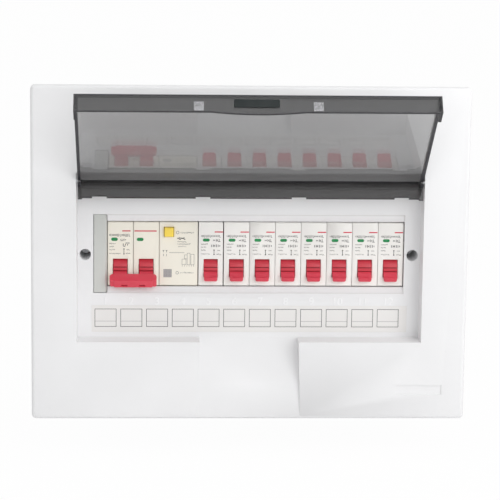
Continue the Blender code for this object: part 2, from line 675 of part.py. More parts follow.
def make_hinge_pin(side, name):
    """A dowel from the flap's side flange into the wall of the recess."""
    near = FLAP_HALF - FLAP_SHEET + PIN_BLIND + GAP
    pin = rod(PIN_RADIUS, (0, 0), *sorted((side * near, side * (RECESS_HALF + PLATE / 2))), "X", 16, name)
    round_look(pin)
    paint(pin, "steel")
    return at(pin, 0, AXIS_Y, AXIS_Z, -OPEN_ANGLE)


def make_nameplate():
    """A blank plate on the outside of the flap's lip."""
    face = AXIS_DOWN - FLAP_LENGTH - GAP
    middle = LIP_DEPTH / 2 - AXIS_BACK + NAMEPLATE_LOW
    plate = rounded_block((NAMEPLATE_SHIFT - NAMEPLATE_WIDTH / 2, NAMEPLATE_SHIFT + NAMEPLATE_WIDTH / 2),
                          (middle - NAMEPLATE_HEIGHT / 2, middle + NAMEPLATE_HEIGHT / 2),
                          (face - NAMEPLATE_THICK, face), 2, NAMEPLATE_ROUND, 2, "name_plate")
    paint(plate, "plate_green")
    return at(plate, 0, AXIS_Y, AXIS_Z, -OPEN_ANGLE)


# ---- Rail ------------------------------------------------------------------------------------
def make_rail():
    """Top-hat rail: lips to the front, hat screwed to the supports."""
    web = LIPS + RAIL_DEPTH
    outline = []
    for side in (1, -1):
        points = [
            (LIPS, side * RAIL_HALF),
            (LIPS + RAIL_SHEET, side * RAIL_HALF),
            (LIPS + RAIL_SHEET, side * RAIL_HAT),
            (web, side * RAIL_HAT),
        ]
        outline += points if side > 0 else list(reversed(points))
    for side in (-1, 1):
        points = [
            (LIPS, side * (RAIL_HAT - RAIL_SHEET)),
            (web - RAIL_SHEET, side * (RAIL_HAT - RAIL_SHEET)),
        ]
        outline += points if side < 0 else list(reversed(points))
    outline = [(y, z + MODULE_Z) for y, z in outline]
    half = WAYS * PITCH / 2
    rail = prism(outline, -half, half, "X", "din_rail")
    slots = mirrored(lambda side: slot(RAIL_SCREW_RADIUS + GAP, RAIL_SLOT_LONG,
                                       (side * RAIL_SCREW_X, MODULE_Z), LIPS, 0))
    cut(rail, *slots)
    paint(rail, "steel")


def make_rail_screw(side, name):
    make_screw((side * RAIL_SCREW_X, MODULE_Z), LIPS + RAIL_DEPTH - RAIL_SHEET - GAP, -BOX_WALL - GAP,
               RAIL_SCREW_HEAD, RAIL_SCREW_RADIUS, 1, name)


# ---- Devices ---------------------------------------------------------------------------------
def device_outline():
    """Side view of a modular device, with the notch that hangs on the rail."""
    shoulder = FACE + SHOULDER
    rear = LIPS + TAIL
    top = MODULE_Z + HALF_HEIGHT
    bottom = MODULE_Z - HALF_HEIGHT
    nose_top = MODULE_Z + NOSE_HALF
    nose_bottom = MODULE_Z - NOSE_HALF
    behind_lip = LIPS + RAIL_SHEET + GAP
    notch_top = MODULE_Z + RAIL_HALF + GAP
    notch_bottom = MODULE_Z - RAIL_HALF - GAP
    hook = MODULE_Z + RAIL_HAT + GAP + HOOK_CLEAR
    return [
        (rear, top), (shoulder + SHOULDER_CHAMFER, top), (shoulder, top - SHOULDER_CHAMFER),
        (shoulder, nose_top), (FACE + NOSE_CHAMFER, nose_top), (FACE, nose_top - NOSE_CHAMFER),
        (FACE, nose_bottom + NOSE_CHAMFER), (FACE + NOSE_CHAMFER, nose_bottom),
        (shoulder, nose_bottom), (shoulder, bottom + SHOULDER_CHAMFER),
        (shoulder + SHOULDER_CHAMFER, bottom), (rear, bottom), (rear, notch_bottom),
        (LIPS - GAP, notch_bottom), (LIPS - GAP, notch_top), (behind_lip, notch_top),
        (behind_lip, hook), (rear, hook),
    ]


def terminal_cuts(x):
    """Wire entry and driver hole at both ends of one pole."""
    cuts = []
    for end in (-1, 1):
        edge = MODULE_Z + end * HALF_HEIGHT
        cuts.append(block((x - TERMINAL_HALF, x + TERMINAL_HALF),
                          (LIPS - TERMINAL_FAR, LIPS - TERMINAL_NEAR),
                          sorted((edge + end, edge - end * TERMINAL_LENGTH))))
        cuts.append(rod(DRIVER_RADIUS, (x, edge - end * DRIVER_IN), FACE + SHOULDER - PAST,
                        FACE + SHOULDER + DRIVER_DEEP, "Y", 10))
    return cuts


def clip_channel(x):
    half = CLIP_HALF + GAP
    return block((x - half, x + half), (LIPS + RAIL_SHEET, LIPS + TAIL + PAST),
                 (MODULE_Z - HALF_HEIGHT - PAST, MODULE_Z - RAIL_HALF))


def toggle_space(x):
    half = TOGGLE_HALF + GAP
    return [
        block((x - half, x + half), (FACE - PAST, TOGGLE_Y), (TOGGLE_Z - SLOT_HALF, TOGGLE_Z + SLOT_HALF)),
        rod(DRUM_RADIUS + GAP, (TOGGLE_Y, TOGGLE_Z), x - half, x + half, "X", 24),
        rod(JOURNAL_RADIUS + GAP, (TOGGLE_Y, TOGGLE_Z), x - half - JOURNAL_LENGTH,
            x + half + JOURNAL_LENGTH, "X", 12),
    ]


def make_housing(name, left, width, poles, toggled, colour):
    """One device body between left and left + width, with its holes."""
    housing = prism(device_outline(), left + GAP / 2, left + width - GAP / 2, "X", name)
    step = width / poles
    cuts = [clip_channel(left + width / 2)]
    for index in range(poles):
        x = left + (index + 0.5) * step
        cuts += terminal_cuts(x)
        if toggled:
            cuts += toggle_space(x)
    cut(housing, *cuts)
    paint(housing, colour)
    return housing


def toggle_shape():
    """A toggle pointing level, around its own axis."""
    toggle = rod(DRUM_RADIUS, (0, 0), -TOGGLE_HALF, TOGGLE_HALF, "X", 24)
    side = TOGGLE_HALF - PADDLE_NARROW
    bm = block_mesh((-side, side), (-PADDLE_REACH, -DRUM_RADIUS + PADDLE_ROOT), (-PADDLE_HALF, PADDLE_HALF))
    tip = [edge for edge in bm.edges if along(edge, 2)
           and all(v.co.y < -PADDLE_REACH + 0.01 for v in edge.verts)]
    round_edges(bm, tip, PADDLE_CORNER, 3)
    reach = TOGGLE_HALF + JOURNAL_LENGTH
    unite(toggle, to_object(bm), rod(JOURNAL_RADIUS, (0, 0), -reach, reach, "X", 12))
    round_look(toggle)
    return toggle


def place_toggle(shape, x, name):
    toggle = named_copy(shape, name, "toggle_red")
    at(toggle, x, TOGGLE_Y, TOGGLE_Z, TOGGLE_ANGLE)


def make_tie_bar(first, last):
    """Joins the main switch's paddles; around the same axis as the toggles."""
    middle = (first + last) / 2
    half = (last - first) / 2
    over = half + TOGGLE_HALF + TIE_OVER
    bm = block_mesh((-over, over), (-TIE_FAR, -TIE_NEAR), (-TIE_HALF, TIE_HALF))
    corners = [edge for edge in bm.edges if along(edge, 2)]
    round_edges(bm, corners, TIE_ROUND, 3)
    bar = to_object(bm, "main_tie_bar")
    pocket = TOGGLE_HALF - PADDLE_NARROW + GAP
    pockets = mirrored(lambda side: block(
        (side * half - pocket, side * half + pocket),
        (-PADDLE_REACH - GAP, -TIE_NEAR + PAST), (-PADDLE_HALF - GAP, PADDLE_HALF + GAP)))
    low = TIE_SLOT_UP - TIE_HALF
    slots = mirrored(lambda side: block(
        (side * half * TIE_SLOT_SHARE - TIE_SLOT_WIDTH / 2, side * half * TIE_SLOT_SHARE + TIE_SLOT_WIDTH / 2),
        (-TIE_FAR - PAST, -TIE_FAR + TIE_SLOT_DEPTH), (low, low + TIE_SLOT_HIGH)))
    cut(bar, *pockets, *slots)
    paint(bar, "toggle_red")
    return at(bar, middle, TOGGLE_Y, TOGGLE_Z, TOGGLE_ANGLE)


def clip_shape():
    """A rail clip, standing where it grips the lower lip, at X = 0."""
    front = LIPS + RAIL_SHEET + GAP
    rear = LIPS + TAIL - GAP
    tip = MODULE_Z - CLIP_TIP
    shelf = MODULE_Z - HALF_HEIGHT - GAP
    foot = shelf - CLIP_TAB
    outline = [(front, tip - CLIP_CHAMFER), (front, shelf), (front - CLIP_FOOT, shelf), (front - CLIP_FOOT, foot),
               (rear, foot), (rear, tip), (front + CLIP_CHAMFER, tip)]
    return prism(outline, -CLIP_HALF, CLIP_HALF, "X")


def make_devices():
    toggle = toggle_shape()
    clip = clip_shape()
    centres = []
    for index in range(MAIN_POLES):
        left = ROW_LEFT + index * PITCH
        x = left + PITCH / 2
        centres.append(x)
        make_housing(f"main_pole_{index + 1}", left, PITCH, 1, True, "device_cream")
        place_toggle(toggle, x, f"main_lever_{index + 1}")
        at(named_copy(clip, f"main_clip_{index + 1}", "clip_black"), x)
    make_tie_bar(centres[0], centres[-1])

    rcd = make_housing("rcd_housing", MAIN_RIGHT, RCD_WIDTH, 2, False, "device_cream")
    button_x = MAIN_RIGHT + BUTTON_LEFT
    button_z = MODULE_Z + BUTTON_UP
    bore = BUTTON_HALF + GAP
    cut(rcd, block((button_x - bore, button_x + bore), (FACE - PAST, FACE + BUTTON_STEM + BUTTON_TRAVEL + GAP),
                   (button_z - bore, button_z + bore)))
    button = block((button_x - BUTTON_HALF, button_x + BUTTON_HALF),
                   (FACE - BUTTON_PROUD, FACE + BUTTON_STEM),
                   (button_z - BUTTON_HALF, button_z + BUTTON_HALF), "rcd_test_button")
    paint(button, "button_yellow")
    at(named_copy(clip, "rcd_clip", "clip_black"), MAIN_RIGHT + RCD_WIDTH / 2)

    for index in range(BREAKERS):
        left = RCD_RIGHT + index * PITCH
        make_housing(f"mcb_{index + 1}", left, PITCH, 1, True, "device_white")
        place_toggle(toggle, left + PITCH / 2, f"mcb_lever_{index + 1}")
        at(named_copy(clip, f"mcb_clip_{index + 1}", "clip_black"), left + PITCH / 2)
    bpy.data.objects.remove(toggle, do_unlink=True)
    bpy.data.objects.remove(clip, do_unlink=True)


# ---- Terminal bars and comb ------------------------------------------------------------------
def holder_screw_x():
    return BAR_LENGTH / 2 + HOLDER_OVER / 2


def make_bar(name, holder_name, end, colour):
    """A brass bar on its holder; end is +1 above the devices and -1 below."""
    z = end * BAR_Z
    half = BAR_SIDE / 2
    bar = block((-BAR_LENGTH / 2, BAR_LENGTH / 2), (BAR_REAR - BAR_SIDE, BAR_REAR), (z - half, z + half), name)
    heads = []
    holes = []
    for index in range(BAR_HOLES):
        x = (index - (BAR_HOLES - 1) / 2) * BAR_HOLE_STEP
        heads.append(rod(BAR_SCREW_RADIUS, (x, z), BAR_REAR - BAR_SIDE - BAR_SCREW_PROUD,
                         BAR_REAR - BAR_SIDE + SINK, "Y", 10))
        holes.append(rod(BAR_HOLE_RADIUS, (x, BAR_REAR - half), z - half - PAST, z + half + PAST, "Z", 12))
    unite(bar, *heads)
    cut(bar, *holes)
    paint(bar, "brass")

    reach = BAR_LENGTH / 2 + HOLDER_OVER
    floor = -BOX_WALL - GAP
    seat = BAR_REAR + GAP
    inner = BAR_LENGTH / 2 - HOLDER_POST
    outline = [
        (-reach, floor), (reach, floor), (reach, floor - HOLDER_BASE),
        (BAR_LENGTH / 2, floor - HOLDER_BASE), (BAR_LENGTH / 2, seat), (inner, seat),
        (inner, floor - HOLDER_BASE), (-inner, floor - HOLDER_BASE), (-inner, seat),
        (-BAR_LENGTH / 2, seat), (-BAR_LENGTH / 2, floor - HOLDER_BASE), (-reach, floor - HOLDER_BASE),
    ]
    holder = prism(outline, z - half, z + half, "Z", holder_name)
    cut(holder, *mirrored(lambda side: rod(PILOT_RADIUS, (side * holder_screw_x(), z),
                                           floor - HOLDER_BASE - PAST, floor + PAST, "Y", 16)))
    paint(holder, colour)


def make_bar_screw(side, end, name):
    make_screw((side * holder_screw_x(), end * BAR_Z), -BOX_WALL - GAP - HOLDER_BASE - GAP, -GAP,
               SCREW_HEAD, SCREW_RADIUS, 1, name)


def make_comb():
    """Comb that feeds the breakers from above, and the cover pushed over its back."""
    start = RCD_RIGHT + COMB_SHORT
    end = ROW_RIGHT - COMB_SHORT
    low = MODULE_Z + HALF_HEIGHT + COMB_ABOVE
    tip = MODULE_Z + HALF_HEIGHT - COMB_INSERT
    near = LIPS - TERMINAL_NEAR - GAP
    outline = [(start, low + COMB_HEIGHT), (start, low)]
    for index in range(BREAKERS):
        x = RCD_RIGHT + (index + 0.5) * PITCH
        outline += [(x - COMB_TOOTH_HALF, low), (x - COMB_TOOTH_HALF, tip),
                    (x + COMB_TOOTH_HALF, tip), (x + COMB_TOOTH_HALF, low)]
    outline += [(end, low), (end, low + COMB_HEIGHT)]
    comb = prism(outline, near - COMB_SHEET, near, "Y", "comb_busbar")
    paint(comb, "copper")

    inner_front = near - COMB_SHEET - GAP
    inner_rear = near + GAP
    front = inner_front - COMB_COVER
    rear = inner_rear + COMB_COVER
    base = low + COMB_COVER_UP
    roof = low + COMB_HEIGHT + GAP
    outline = [(front, base), (inner_front, base), (inner_front, roof), (inner_rear, roof),
               (inner_rear, base), (rear, base), (rear, roof + COMB_COVER), (front, roof + COMB_COVER)]
    cover = prism(outline, RCD_RIGHT + COMB_COVER_SHORT, ROW_RIGHT - COMB_COVER_SHORT, "X", "comb_cover")
    paint(cover, "blank_grey")


def main():
    clear_scene()
    make_wall_box()
    make_cover()
    make_cover_screw(-1, "cover_screw_left")
    make_cover_screw(1, "cover_screw_right")
    make_blanking_strip()
    make_label_strip()
    make_flap()
    make_hinge_pin(-1, "hinge_pin_left")
    make_hinge_pin(1, "hinge_pin_right")
    make_nameplate()
    make_rail()
    make_rail_screw(-1, "rail_screw_left")
    make_rail_screw(1, "rail_screw_right")
    make_devices()
    make_bar("neutral_bar", "neutral_bar_holder", 1, "holder_blue")
    make_bar("earth_bar", "earth_bar_holder", -1, "holder_green")
    for end, kind in ((1, "neutral"), (-1, "earth")):
        make_bar_screw(-1, end, f"{kind}_holder_screw_left")
        make_bar_screw(1, end, f"{kind}_holder_screw_right")
    make_comb()


main()
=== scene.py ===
# %% [markdown]
# # A breaker panel box, finished
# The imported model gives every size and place. This script makes the visible pieces around it: rounded
# mouldings, a smoked flap that light passes through, printed faces and labels, and metal parts inside.
# Everything is in metres; +X is right, +Z up, and the front of the box looks along -Y.

# %% Load the frame
import json
import math

import bmesh
import bpy
from mathutils import Matrix, Vector


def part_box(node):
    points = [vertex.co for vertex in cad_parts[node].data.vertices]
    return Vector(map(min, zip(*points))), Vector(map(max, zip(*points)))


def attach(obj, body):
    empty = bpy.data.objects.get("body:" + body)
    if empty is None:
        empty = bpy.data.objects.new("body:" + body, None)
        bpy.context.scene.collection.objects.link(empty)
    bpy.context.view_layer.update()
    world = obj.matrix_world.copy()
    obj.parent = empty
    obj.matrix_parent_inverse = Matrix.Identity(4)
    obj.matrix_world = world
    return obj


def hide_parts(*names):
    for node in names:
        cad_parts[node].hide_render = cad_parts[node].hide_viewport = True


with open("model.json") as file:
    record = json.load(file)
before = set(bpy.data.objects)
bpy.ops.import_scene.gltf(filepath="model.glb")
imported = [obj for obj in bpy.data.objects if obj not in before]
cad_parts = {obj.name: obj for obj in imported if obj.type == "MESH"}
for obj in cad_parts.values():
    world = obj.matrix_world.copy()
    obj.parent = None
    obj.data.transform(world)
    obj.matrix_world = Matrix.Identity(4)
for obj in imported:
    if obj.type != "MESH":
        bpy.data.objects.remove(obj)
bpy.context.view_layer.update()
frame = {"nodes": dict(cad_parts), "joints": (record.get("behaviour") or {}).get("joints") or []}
nodes = frame["nodes"]
MM = 0.001
BREAKERS = [f"mcb_{index}" for index in range(1, 9)]
MAIN_POLES = ["main_pole_1", "main_pole_2"]

# %% [markdown]
# ## Places that everything else is measured from
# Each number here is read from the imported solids: the plane of the devices' faces, the recess floor, the
# flap's hinge and the toggles' axis. Nothing is typed in twice.

# %% Planes and axes
label_low, label_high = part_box("label_strip")
first_low, first_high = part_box("mcb_1")
last_low, last_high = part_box("mcb_8")
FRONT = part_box("front_cover")[0].y
FLOOR = label_low.y
FACE = first_low.y
PITCH = (last_low.x - first_low.x) / (len(BREAKERS) - 1)
joints = {joint["name"]: joint for joint in frame["joints"]}
HINGE = Vector(joints["flap_hinge"]["pos_m"])
TOGGLE_AXIS = Vector(joints["toggle_1_turn"]["pos_m"])
OPEN = math.radians(joints["flap_hinge"]["range_deg"][1])
print("front", FRONT / MM, "floor", FLOOR / MM, "face", FACE / MM, "pitch", PITCH / MM)

# %% [markdown]
# ## Small helpers for meshes
# A moulded part never has a knife-sharp edge: light catches a thin line along it. So each visible solid is
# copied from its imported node, welded, cleared of needless triangles, and given a narrow bevel. The copy
# stands for the node, which stays underneath for collisions.

# %% Mesh helpers
WELD = 2e-6  # points closer than this are one
NEARLY_FLAT = 0.4  # degrees between faces that count as one face


def link(mesh, name):
    """A new object at the origin that holds this mesh."""
    piece = bpy.data.objects.new(name, mesh)
    bpy.context.scene.collection.objects.link(piece)
    return piece


def from_bmesh(bm, name):
    """Close a bmesh into an object, with its faces turned outwards."""
    bmesh.ops.recalc_face_normals(bm, faces=bm.faces)
    mesh = bpy.data.meshes.new(name)
    bm.to_mesh(mesh)
    bm.free()
    return link(mesh, name)


def welded(source, name):
    """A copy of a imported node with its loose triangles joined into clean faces."""
    mesh = nodes[source].data.copy()
    mesh.materials.clear()
    bm = bmesh.new()
    bm.from_mesh(mesh)
    bmesh.ops.remove_doubles(bm, verts=bm.verts, dist=WELD)
    bmesh.ops.dissolve_limit(bm, angle_limit=math.radians(NEARLY_FLAT), verts=bm.verts, edges=bm.edges)
    bm.to_mesh(mesh)
    bm.free()
    return link(mesh, name)


def apply_modifiers(piece):
    """Turn what the modifiers show into the piece's own mesh."""
    bpy.context.view_layer.update()
    evaluated = piece.evaluated_get(bpy.context.evaluated_depsgraph_get())
    mesh = bpy.data.meshes.new_from_object(evaluated)
    piece.modifiers.clear()
    piece.data = mesh
    return piece


def soften(piece, width, segments=2, angle=32):
    """Round every edge sharper than the angle by a small width."""
    bevel = piece.modifiers.new("edges", "BEVEL")
    bevel.width = width
    bevel.segments = segments
    bevel.limit_method = "ANGLE"
    bevel.angle_limit = math.radians(angle)
    bevel.use_clamp_overlap = True
    bevel.harden_normals = True
    piece.data.shade_smooth()
    return apply_modifiers(piece)


def combine(piece, tools, operation):
    """Cut the tools from a piece, or unite them with it, and drop them."""
    for tool in tools:
        change = piece.modifiers.new(operation, "BOOLEAN")
        change.operation = operation
        change.solver = "EXACT"
        change.object = tool
    apply_modifiers(piece)
    for tool in tools:
        bpy.data.objects.remove(tool, do_unlink=True)
    return piece


def block(low, high, name="block"):
    """A box between two corners."""
    bm = bmesh.new()
    bmesh.ops.create_cube(bm, size=1.0)
    low, high = Vector(low), Vector(high)
    bmesh.ops.scale(bm, vec=high - low, verts=bm.verts)
    bmesh.ops.translate(bm, vec=(high + low) / 2, verts=bm.verts)
    return from_bmesh(bm, name)


def rod(radius, low, high, sides=32, name="rod"):
    """A cylinder between two points."""
    low, high = Vector(low), Vector(high)
    bm = bmesh.new()
    bmesh.ops.create_cone(bm, cap_ends=True, segments=sides, radius1=radius, radius2=radius,
                          depth=(high - low).length)
    turn = (high - low).to_track_quat("Z", "Y").to_matrix().to_4x4()
    bmesh.ops.transform(bm, matrix=Matrix.Translation((high + low) / 2) @ turn, verts=bm.verts)
    return from_bmesh(bm, name)


def moved(source, name, offset):
    """Another piece with the same shape, shifted in its mesh and not as an object."""
    mesh = source.data.copy()
    mesh.transform(Matrix.Translation(offset))
    return link(mesh, name)


def joined(parts, name):
    """One object out of several."""
    bm = bmesh.new()
    for part in parts:
        bm.from_mesh(part.data)
        bpy.data.objects.remove(part, do_unlink=True)
    mesh = bpy.data.meshes.new(name)
    bm.to_mesh(mesh)
    bm.free()
    return link(mesh, name)


# %% [markdown]
# ## Finishes
# Moulded plastic isn't one flat colour. Its surface carries a fine texture from the mould, its gloss drifts
# a little, and its tone shifts over some centimetres. Three noise patterns on Object coordinates give those
# three things at their real scales, so one function serves every plastic in the box.

# %% Material helpers
def new_material(name, colour, roughness, metallic=0.0):
    """A Principled material whose even values sit on the shader's own sockets."""
    material = bpy.data.materials.new(name)
    material.use_nodes = True
    shader = material.node_tree.nodes["Principled BSDF"]
    shader.inputs["Base Color"].default_value = (*colour, 1.0)
    shader.inputs["Roughness"].default_value = roughness
    shader.inputs["Metallic"].default_value = metallic
    material.diffuse_color = (*colour, 1.0)
    return material, shader


def srgb(red, green, blue):
    """A colour as a paint chart gives it, 0 to 255, turned into linear light."""
    def linear(value):
        value = value / 255
        return value / 12.92 if value <= 0.04045 else ((value + 0.055) / 1.055) ** 2.4
    return tuple(linear(value) for value in (red, green, blue))


def noise(tree, scale, detail=2.0, stretch=None):
    """Noise on Object coordinates; stretch scales it along the axes first."""
    place = tree.nodes.new("ShaderNodeTexCoord")
    pattern = tree.nodes.new("ShaderNodeTexNoise")
    pattern.inputs["Scale"].default_value = scale
    pattern.inputs["Detail"].default_value = detail
    source = place.outputs["Object"]
    if stretch:
        mapping = tree.nodes.new("ShaderNodeMapping")
        mapping.inputs["Scale"].default_value = stretch
        tree.links.new(source, mapping.inputs["Vector"])
        source = mapping.outputs["Vector"]
    tree.links.new(source, pattern.inputs["Vector"])
    return pattern.outputs["Fac"]


def ranged(tree, value, low, high, start=0.3, end=0.7):
    """Map a noise value to a range."""
    step = tree.nodes.new("ShaderNodeMapRange")
    step.inputs["From Min"].default_value = start
    step.inputs["From Max"].default_value = end
    step.inputs["To Min"].default_value = low
    step.inputs["To Max"].default_value = high
    tree.links.new(value, step.inputs["Value"])
    return step.outputs["Result"]


def blended(tree, factor, first, second):
    """A colour between two, by a factor."""
    step = tree.nodes.new("ShaderNodeMix")
    step.data_type = "RGBA"
    step.inputs["A"].default_value = (*first, 1.0)
    step.inputs["B"].default_value = (*second, 1.0)
    tree.links.new(factor, step.inputs["Factor"])
    return step.outputs["Result"]


def bumped(tree, shader, height, strength, distance):
    """Let a pattern raise and lower the surface in the shading only."""
    step = tree.nodes.new("ShaderNodeBump")
    step.inputs["Strength"].default_value = strength
    step.inputs["Distance"].default_value = distance
    tree.links.new(height, step.inputs["Height"])
    tree.links.new(step.outputs["Normal"], shader.inputs["Normal"])


def moulded(name, colour, roughness, grain=1400.0, relief=0.25, drift=0.04):
    """Moulded plastic: fine mould texture, drifting gloss, slow change of tone."""
    material, shader = new_material(name, colour, roughness)
    tree = material.node_tree
    darker = tuple(value * (1.0 - drift) for value in colour)
    lighter = tuple(min(1.0, value * (1.0 + drift * 0.5)) for value in colour)
    tone = ranged(tree, noise(tree, 22.0, 3.0), 0.0, 1.0)
    tree.links.new(blended(tree, tone, darker, lighter), shader.inputs["Base Color"])
    gloss = ranged(tree, noise(tree, 130.0, 3.0), roughness - 0.05, roughness + 0.06)
    tree.links.new(gloss, shader.inputs["Roughness"])
    bumped(tree, shader, noise(tree, grain, 3.0), relief, 0.00006)
    return material


def metal(name, colour, roughness, stretch, relief=0.15):
    """Drawn or plated metal: fine lines along the way it was worked, and faint stains."""
    material, shader = new_material(name, colour, roughness, 1.0)
    tree = material.node_tree
    lines = noise(tree, 900.0, 4.0, stretch)
    tree.links.new(ranged(tree, lines, roughness - 0.08, roughness + 0.14), shader.inputs["Roughness"])
    stains = ranged(tree, noise(tree, 60.0, 4.0), 0.0, 1.0)
    dull = tuple(value * 0.78 for value in colour)
    tree.links.new(blended(tree, stains, dull, colour), shader.inputs["Base Color"])
    bumped(tree, shader, lines, relief, 0.00004)
    return material


# %% Plastics and metals
COVER_WHITE = moulded("cover white", srgb(238, 238, 239), 0.36, relief=0.18, drift=0.02)
# Painted shade: a darker white standing for the shade along the low step around the window
STEP_SHADE_WHITE = moulded("step line painted shade", srgb(222, 220, 219), 0.4, relief=0.1, drift=0.01)
# Painted highlight: the raised numbers are the cover's plastic, drawn lighter than the cover
NUMBER_HIGHLIGHT_WHITE = moulded("number white painted highlight", srgb(246, 246, 247), 0.3, relief=0.1, drift=0.01)
BOX_GREY = moulded("wall box grey", srgb(168, 172, 176), 0.55, grain=700.0, relief=0.5, drift=0.07)
DEVICE_CREAM = moulded("device cream", srgb(245, 240, 227), 0.45, grain=1700.0, relief=0.3, drift=0.025)
DEVICE_WHITE = moulded("device white", srgb(246, 244, 240), 0.45, grain=1700.0, relief=0.3, drift=0.025)
# Painted shade: the drum red is darker than the paddle red where it sits back, the groove red darker still
DRUM_SHADE_RED = moulded("drum red painted shade", srgb(206, 54, 70), 0.4, grain=1500.0, relief=0.22, drift=0.06)
GROOVE_SHADE_RED = moulded("groove red painted shade", srgb(174, 42, 58), 0.5, grain=1500.0, relief=0.22, drift=0.06)
TOGGLE_RED = moulded("toggle red", srgb(226, 66, 86), 0.34, grain=1500.0, relief=0.22, drift=0.06)
BUTTON_YELLOW = moulded("button yellow", srgb(255, 222, 88), 0.34, relief=0.2, drift=0.04)
WINDOW_GREEN = moulded("indicator green", srgb(28, 140, 78), 0.25, relief=0.1, drift=0.15)
CLIP_BLACK = moulded("clip black", srgb(38, 38, 40), 0.5, relief=0.3, drift=0.1)
BLANK_GREY = moulded("blanking grey", srgb(206, 208, 204), 0.5, relief=0.3, drift=0.04)
HOLDER_BLUE = moulded("holder blue", srgb(52, 104, 176), 0.5, relief=0.3, drift=0.06)
HOLDER_GREEN = moulded("holder green", srgb(62, 138, 76), 0.5, relief=0.3, drift=0.06)
LABEL_FILM = moulded("label film", srgb(234, 232, 230), 0.5, grain=2600.0, relief=0.15, drift=0.015)
INK_DARK = moulded("ink dark", srgb(70, 64, 66), 0.6, relief=0.1, drift=0.2)
INK_GREY = moulded("ink grey", srgb(126, 122, 120), 0.6, relief=0.1, drift=0.15)
INK_PALE = moulded("ink pale", srgb(176, 172, 173), 0.6, relief=0.1, drift=0.05)
INK_RED = moulded("ink red", srgb(212, 48, 72), 0.55, relief=0.1, drift=0.08)
PLATE_GREEN = moulded("plate green", srgb(6, 19, 20), 0.7, relief=0.2, drift=0.12)
ZINC = metal("zinc plated steel", (0.62, 0.63, 0.65), 0.30, (1.0, 8.0, 8.0))
BRASS = metal("drawn brass", (0.72, 0.50, 0.20), 0.28, (0.1, 4.0, 4.0))
COPPER = metal("copper strip", (0.80, 0.40, 0.24), 0.28, (0.1, 4.0, 4.0))

# %% [markdown]
# ## Smoked plastic
# The flap is tinted clear plastic with polished faces. Light crosses each face and loses part of its
# strength, and the face mirrors what lies in front of it at a slant. Full refraction would need caustics to
# light what stands behind the sheet, so the tint is a partly see-through shader instead. The broad faces
# hold back less than half of it, the lip and the hinge flange more because they are seen at a slant. The
# hinge flange's share also carries painted shade for the shadowed recess behind it. The rims hold back nearly
# all, because light travels along inside the sheet there and dies.

# %% Smoke
def smoked(name, colour, solid, roughness, coat, index=1.45):
    """Tinted clear plastic; solid is the share of light that one face keeps back."""
    material, shader = new_material(name, colour, roughness)
    shader.inputs["Alpha"].default_value = solid
    shader.inputs["IOR"].default_value = index
    shader.inputs["Coat Weight"].default_value = coat
    shader.inputs["Coat Roughness"].default_value = 0.02
    tree = material.node_tree
    haze = ranged(tree, noise(tree, 14.0, 2.0), 0.0, 1.0)
    thin = tuple(value * 0.7 for value in colour)
    tree.links.new(blended(tree, haze, thin, colour), shader.inputs["Base Color"])
    tree.links.new(ranged(tree, noise(tree, 240.0, 3.0), roughness, roughness + 0.03),
                   shader.inputs["Roughness"])
    bumped(tree, shader, noise(tree, 500.0, 2.0), 0.04, 0.00002)
    return material


def frosted():
    """A sand-like patch, pale from its frosting, with painted highlights in broken streaks."""
    material, shader = new_material("frosted catch with painted glints", srgb(214, 215, 220), 0.3)
    tree = material.node_tree
    patches = noise(tree, 1700.0, 3.0)
    tree.links.new(ranged(tree, patches, 0.25, 0.6, 0.38, 0.62), shader.inputs["Alpha"])
    tree.links.new(ranged(tree, patches, 0.2, 0.5), shader.inputs["Roughness"])
    # Partly painted highlight: the pale patches are the frosting's own grey and painted glints
    frost_and_painted_glints = blended(tree, patches, srgb(120, 122, 130), srgb(250, 250, 252))
    tree.links.new(frost_and_painted_glints, shader.inputs["Base Color"])
    bumped(tree, shader, noise(tree, 1300.0, 2.0), 0.9, 0.0002)
    return material


SMOKE = smoked("smoked sheet", srgb(34, 33, 34), 0.42, 0.02, 1.0, 2.3)
SMOKE_LIP = smoked("smoked lip", srgb(30, 30, 32), 0.64, 0.03, 0.2)
# Partly painted shade: the hinge bar's tint also darkens the flap over the shadowed recess behind the hinge
SMOKE_HINGE_SHADE = smoked("smoked fold painted shade", srgb(34, 33, 33), 0.14, 0.05, 0.0)
# Partly painted shade: the hinge flange keeps back more, also for the shadowed recess behind it
SMOKE_FLANGE_SHADE = smoked("smoked hinge flange painted shade", srgb(36, 34, 34), 0.66, 0.05, 0.2)
SMOKE_RIM = smoked("smoked rim", srgb(28, 28, 36), 0.96, 0.35, 0.0)
FROST_AND_GLINTS = frosted()


# %% Finish a piece
def settle(piece, body, slot, material, *replaced):
    """Give a piece its material, its body and the nodes it stands for."""
    piece.data.materials.clear()
    piece.data.materials.append(material)
    if replaced:
        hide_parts(*replaced)
    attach(piece, body)
    return piece


# %% [markdown]
# ## Front cover
# The cover is one white moulding: a wide border, a sunk field with the window for the devices, two screw
# wells and the thumb scoop. Its shape is already right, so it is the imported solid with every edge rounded.

# %% Cover
COVER_EDGE = 0.7 * MM
cover = soften(welded("front_cover", "cover_shell"), COVER_EDGE, 3)
settle(cover, "box", "cover_plastic", COVER_WHITE, "front_cover")
print("cover faces", len(cover.data.polygons))

# %% [markdown]
# ## Devices
# Each breaker is a narrow moulded case. The rounding of its edges is what makes the thin dark lines between
# neighbours, so it matters more than any print. The first breaker sits a little looser than the rest, so its
# case is drawn narrower than its node, about its own middle.

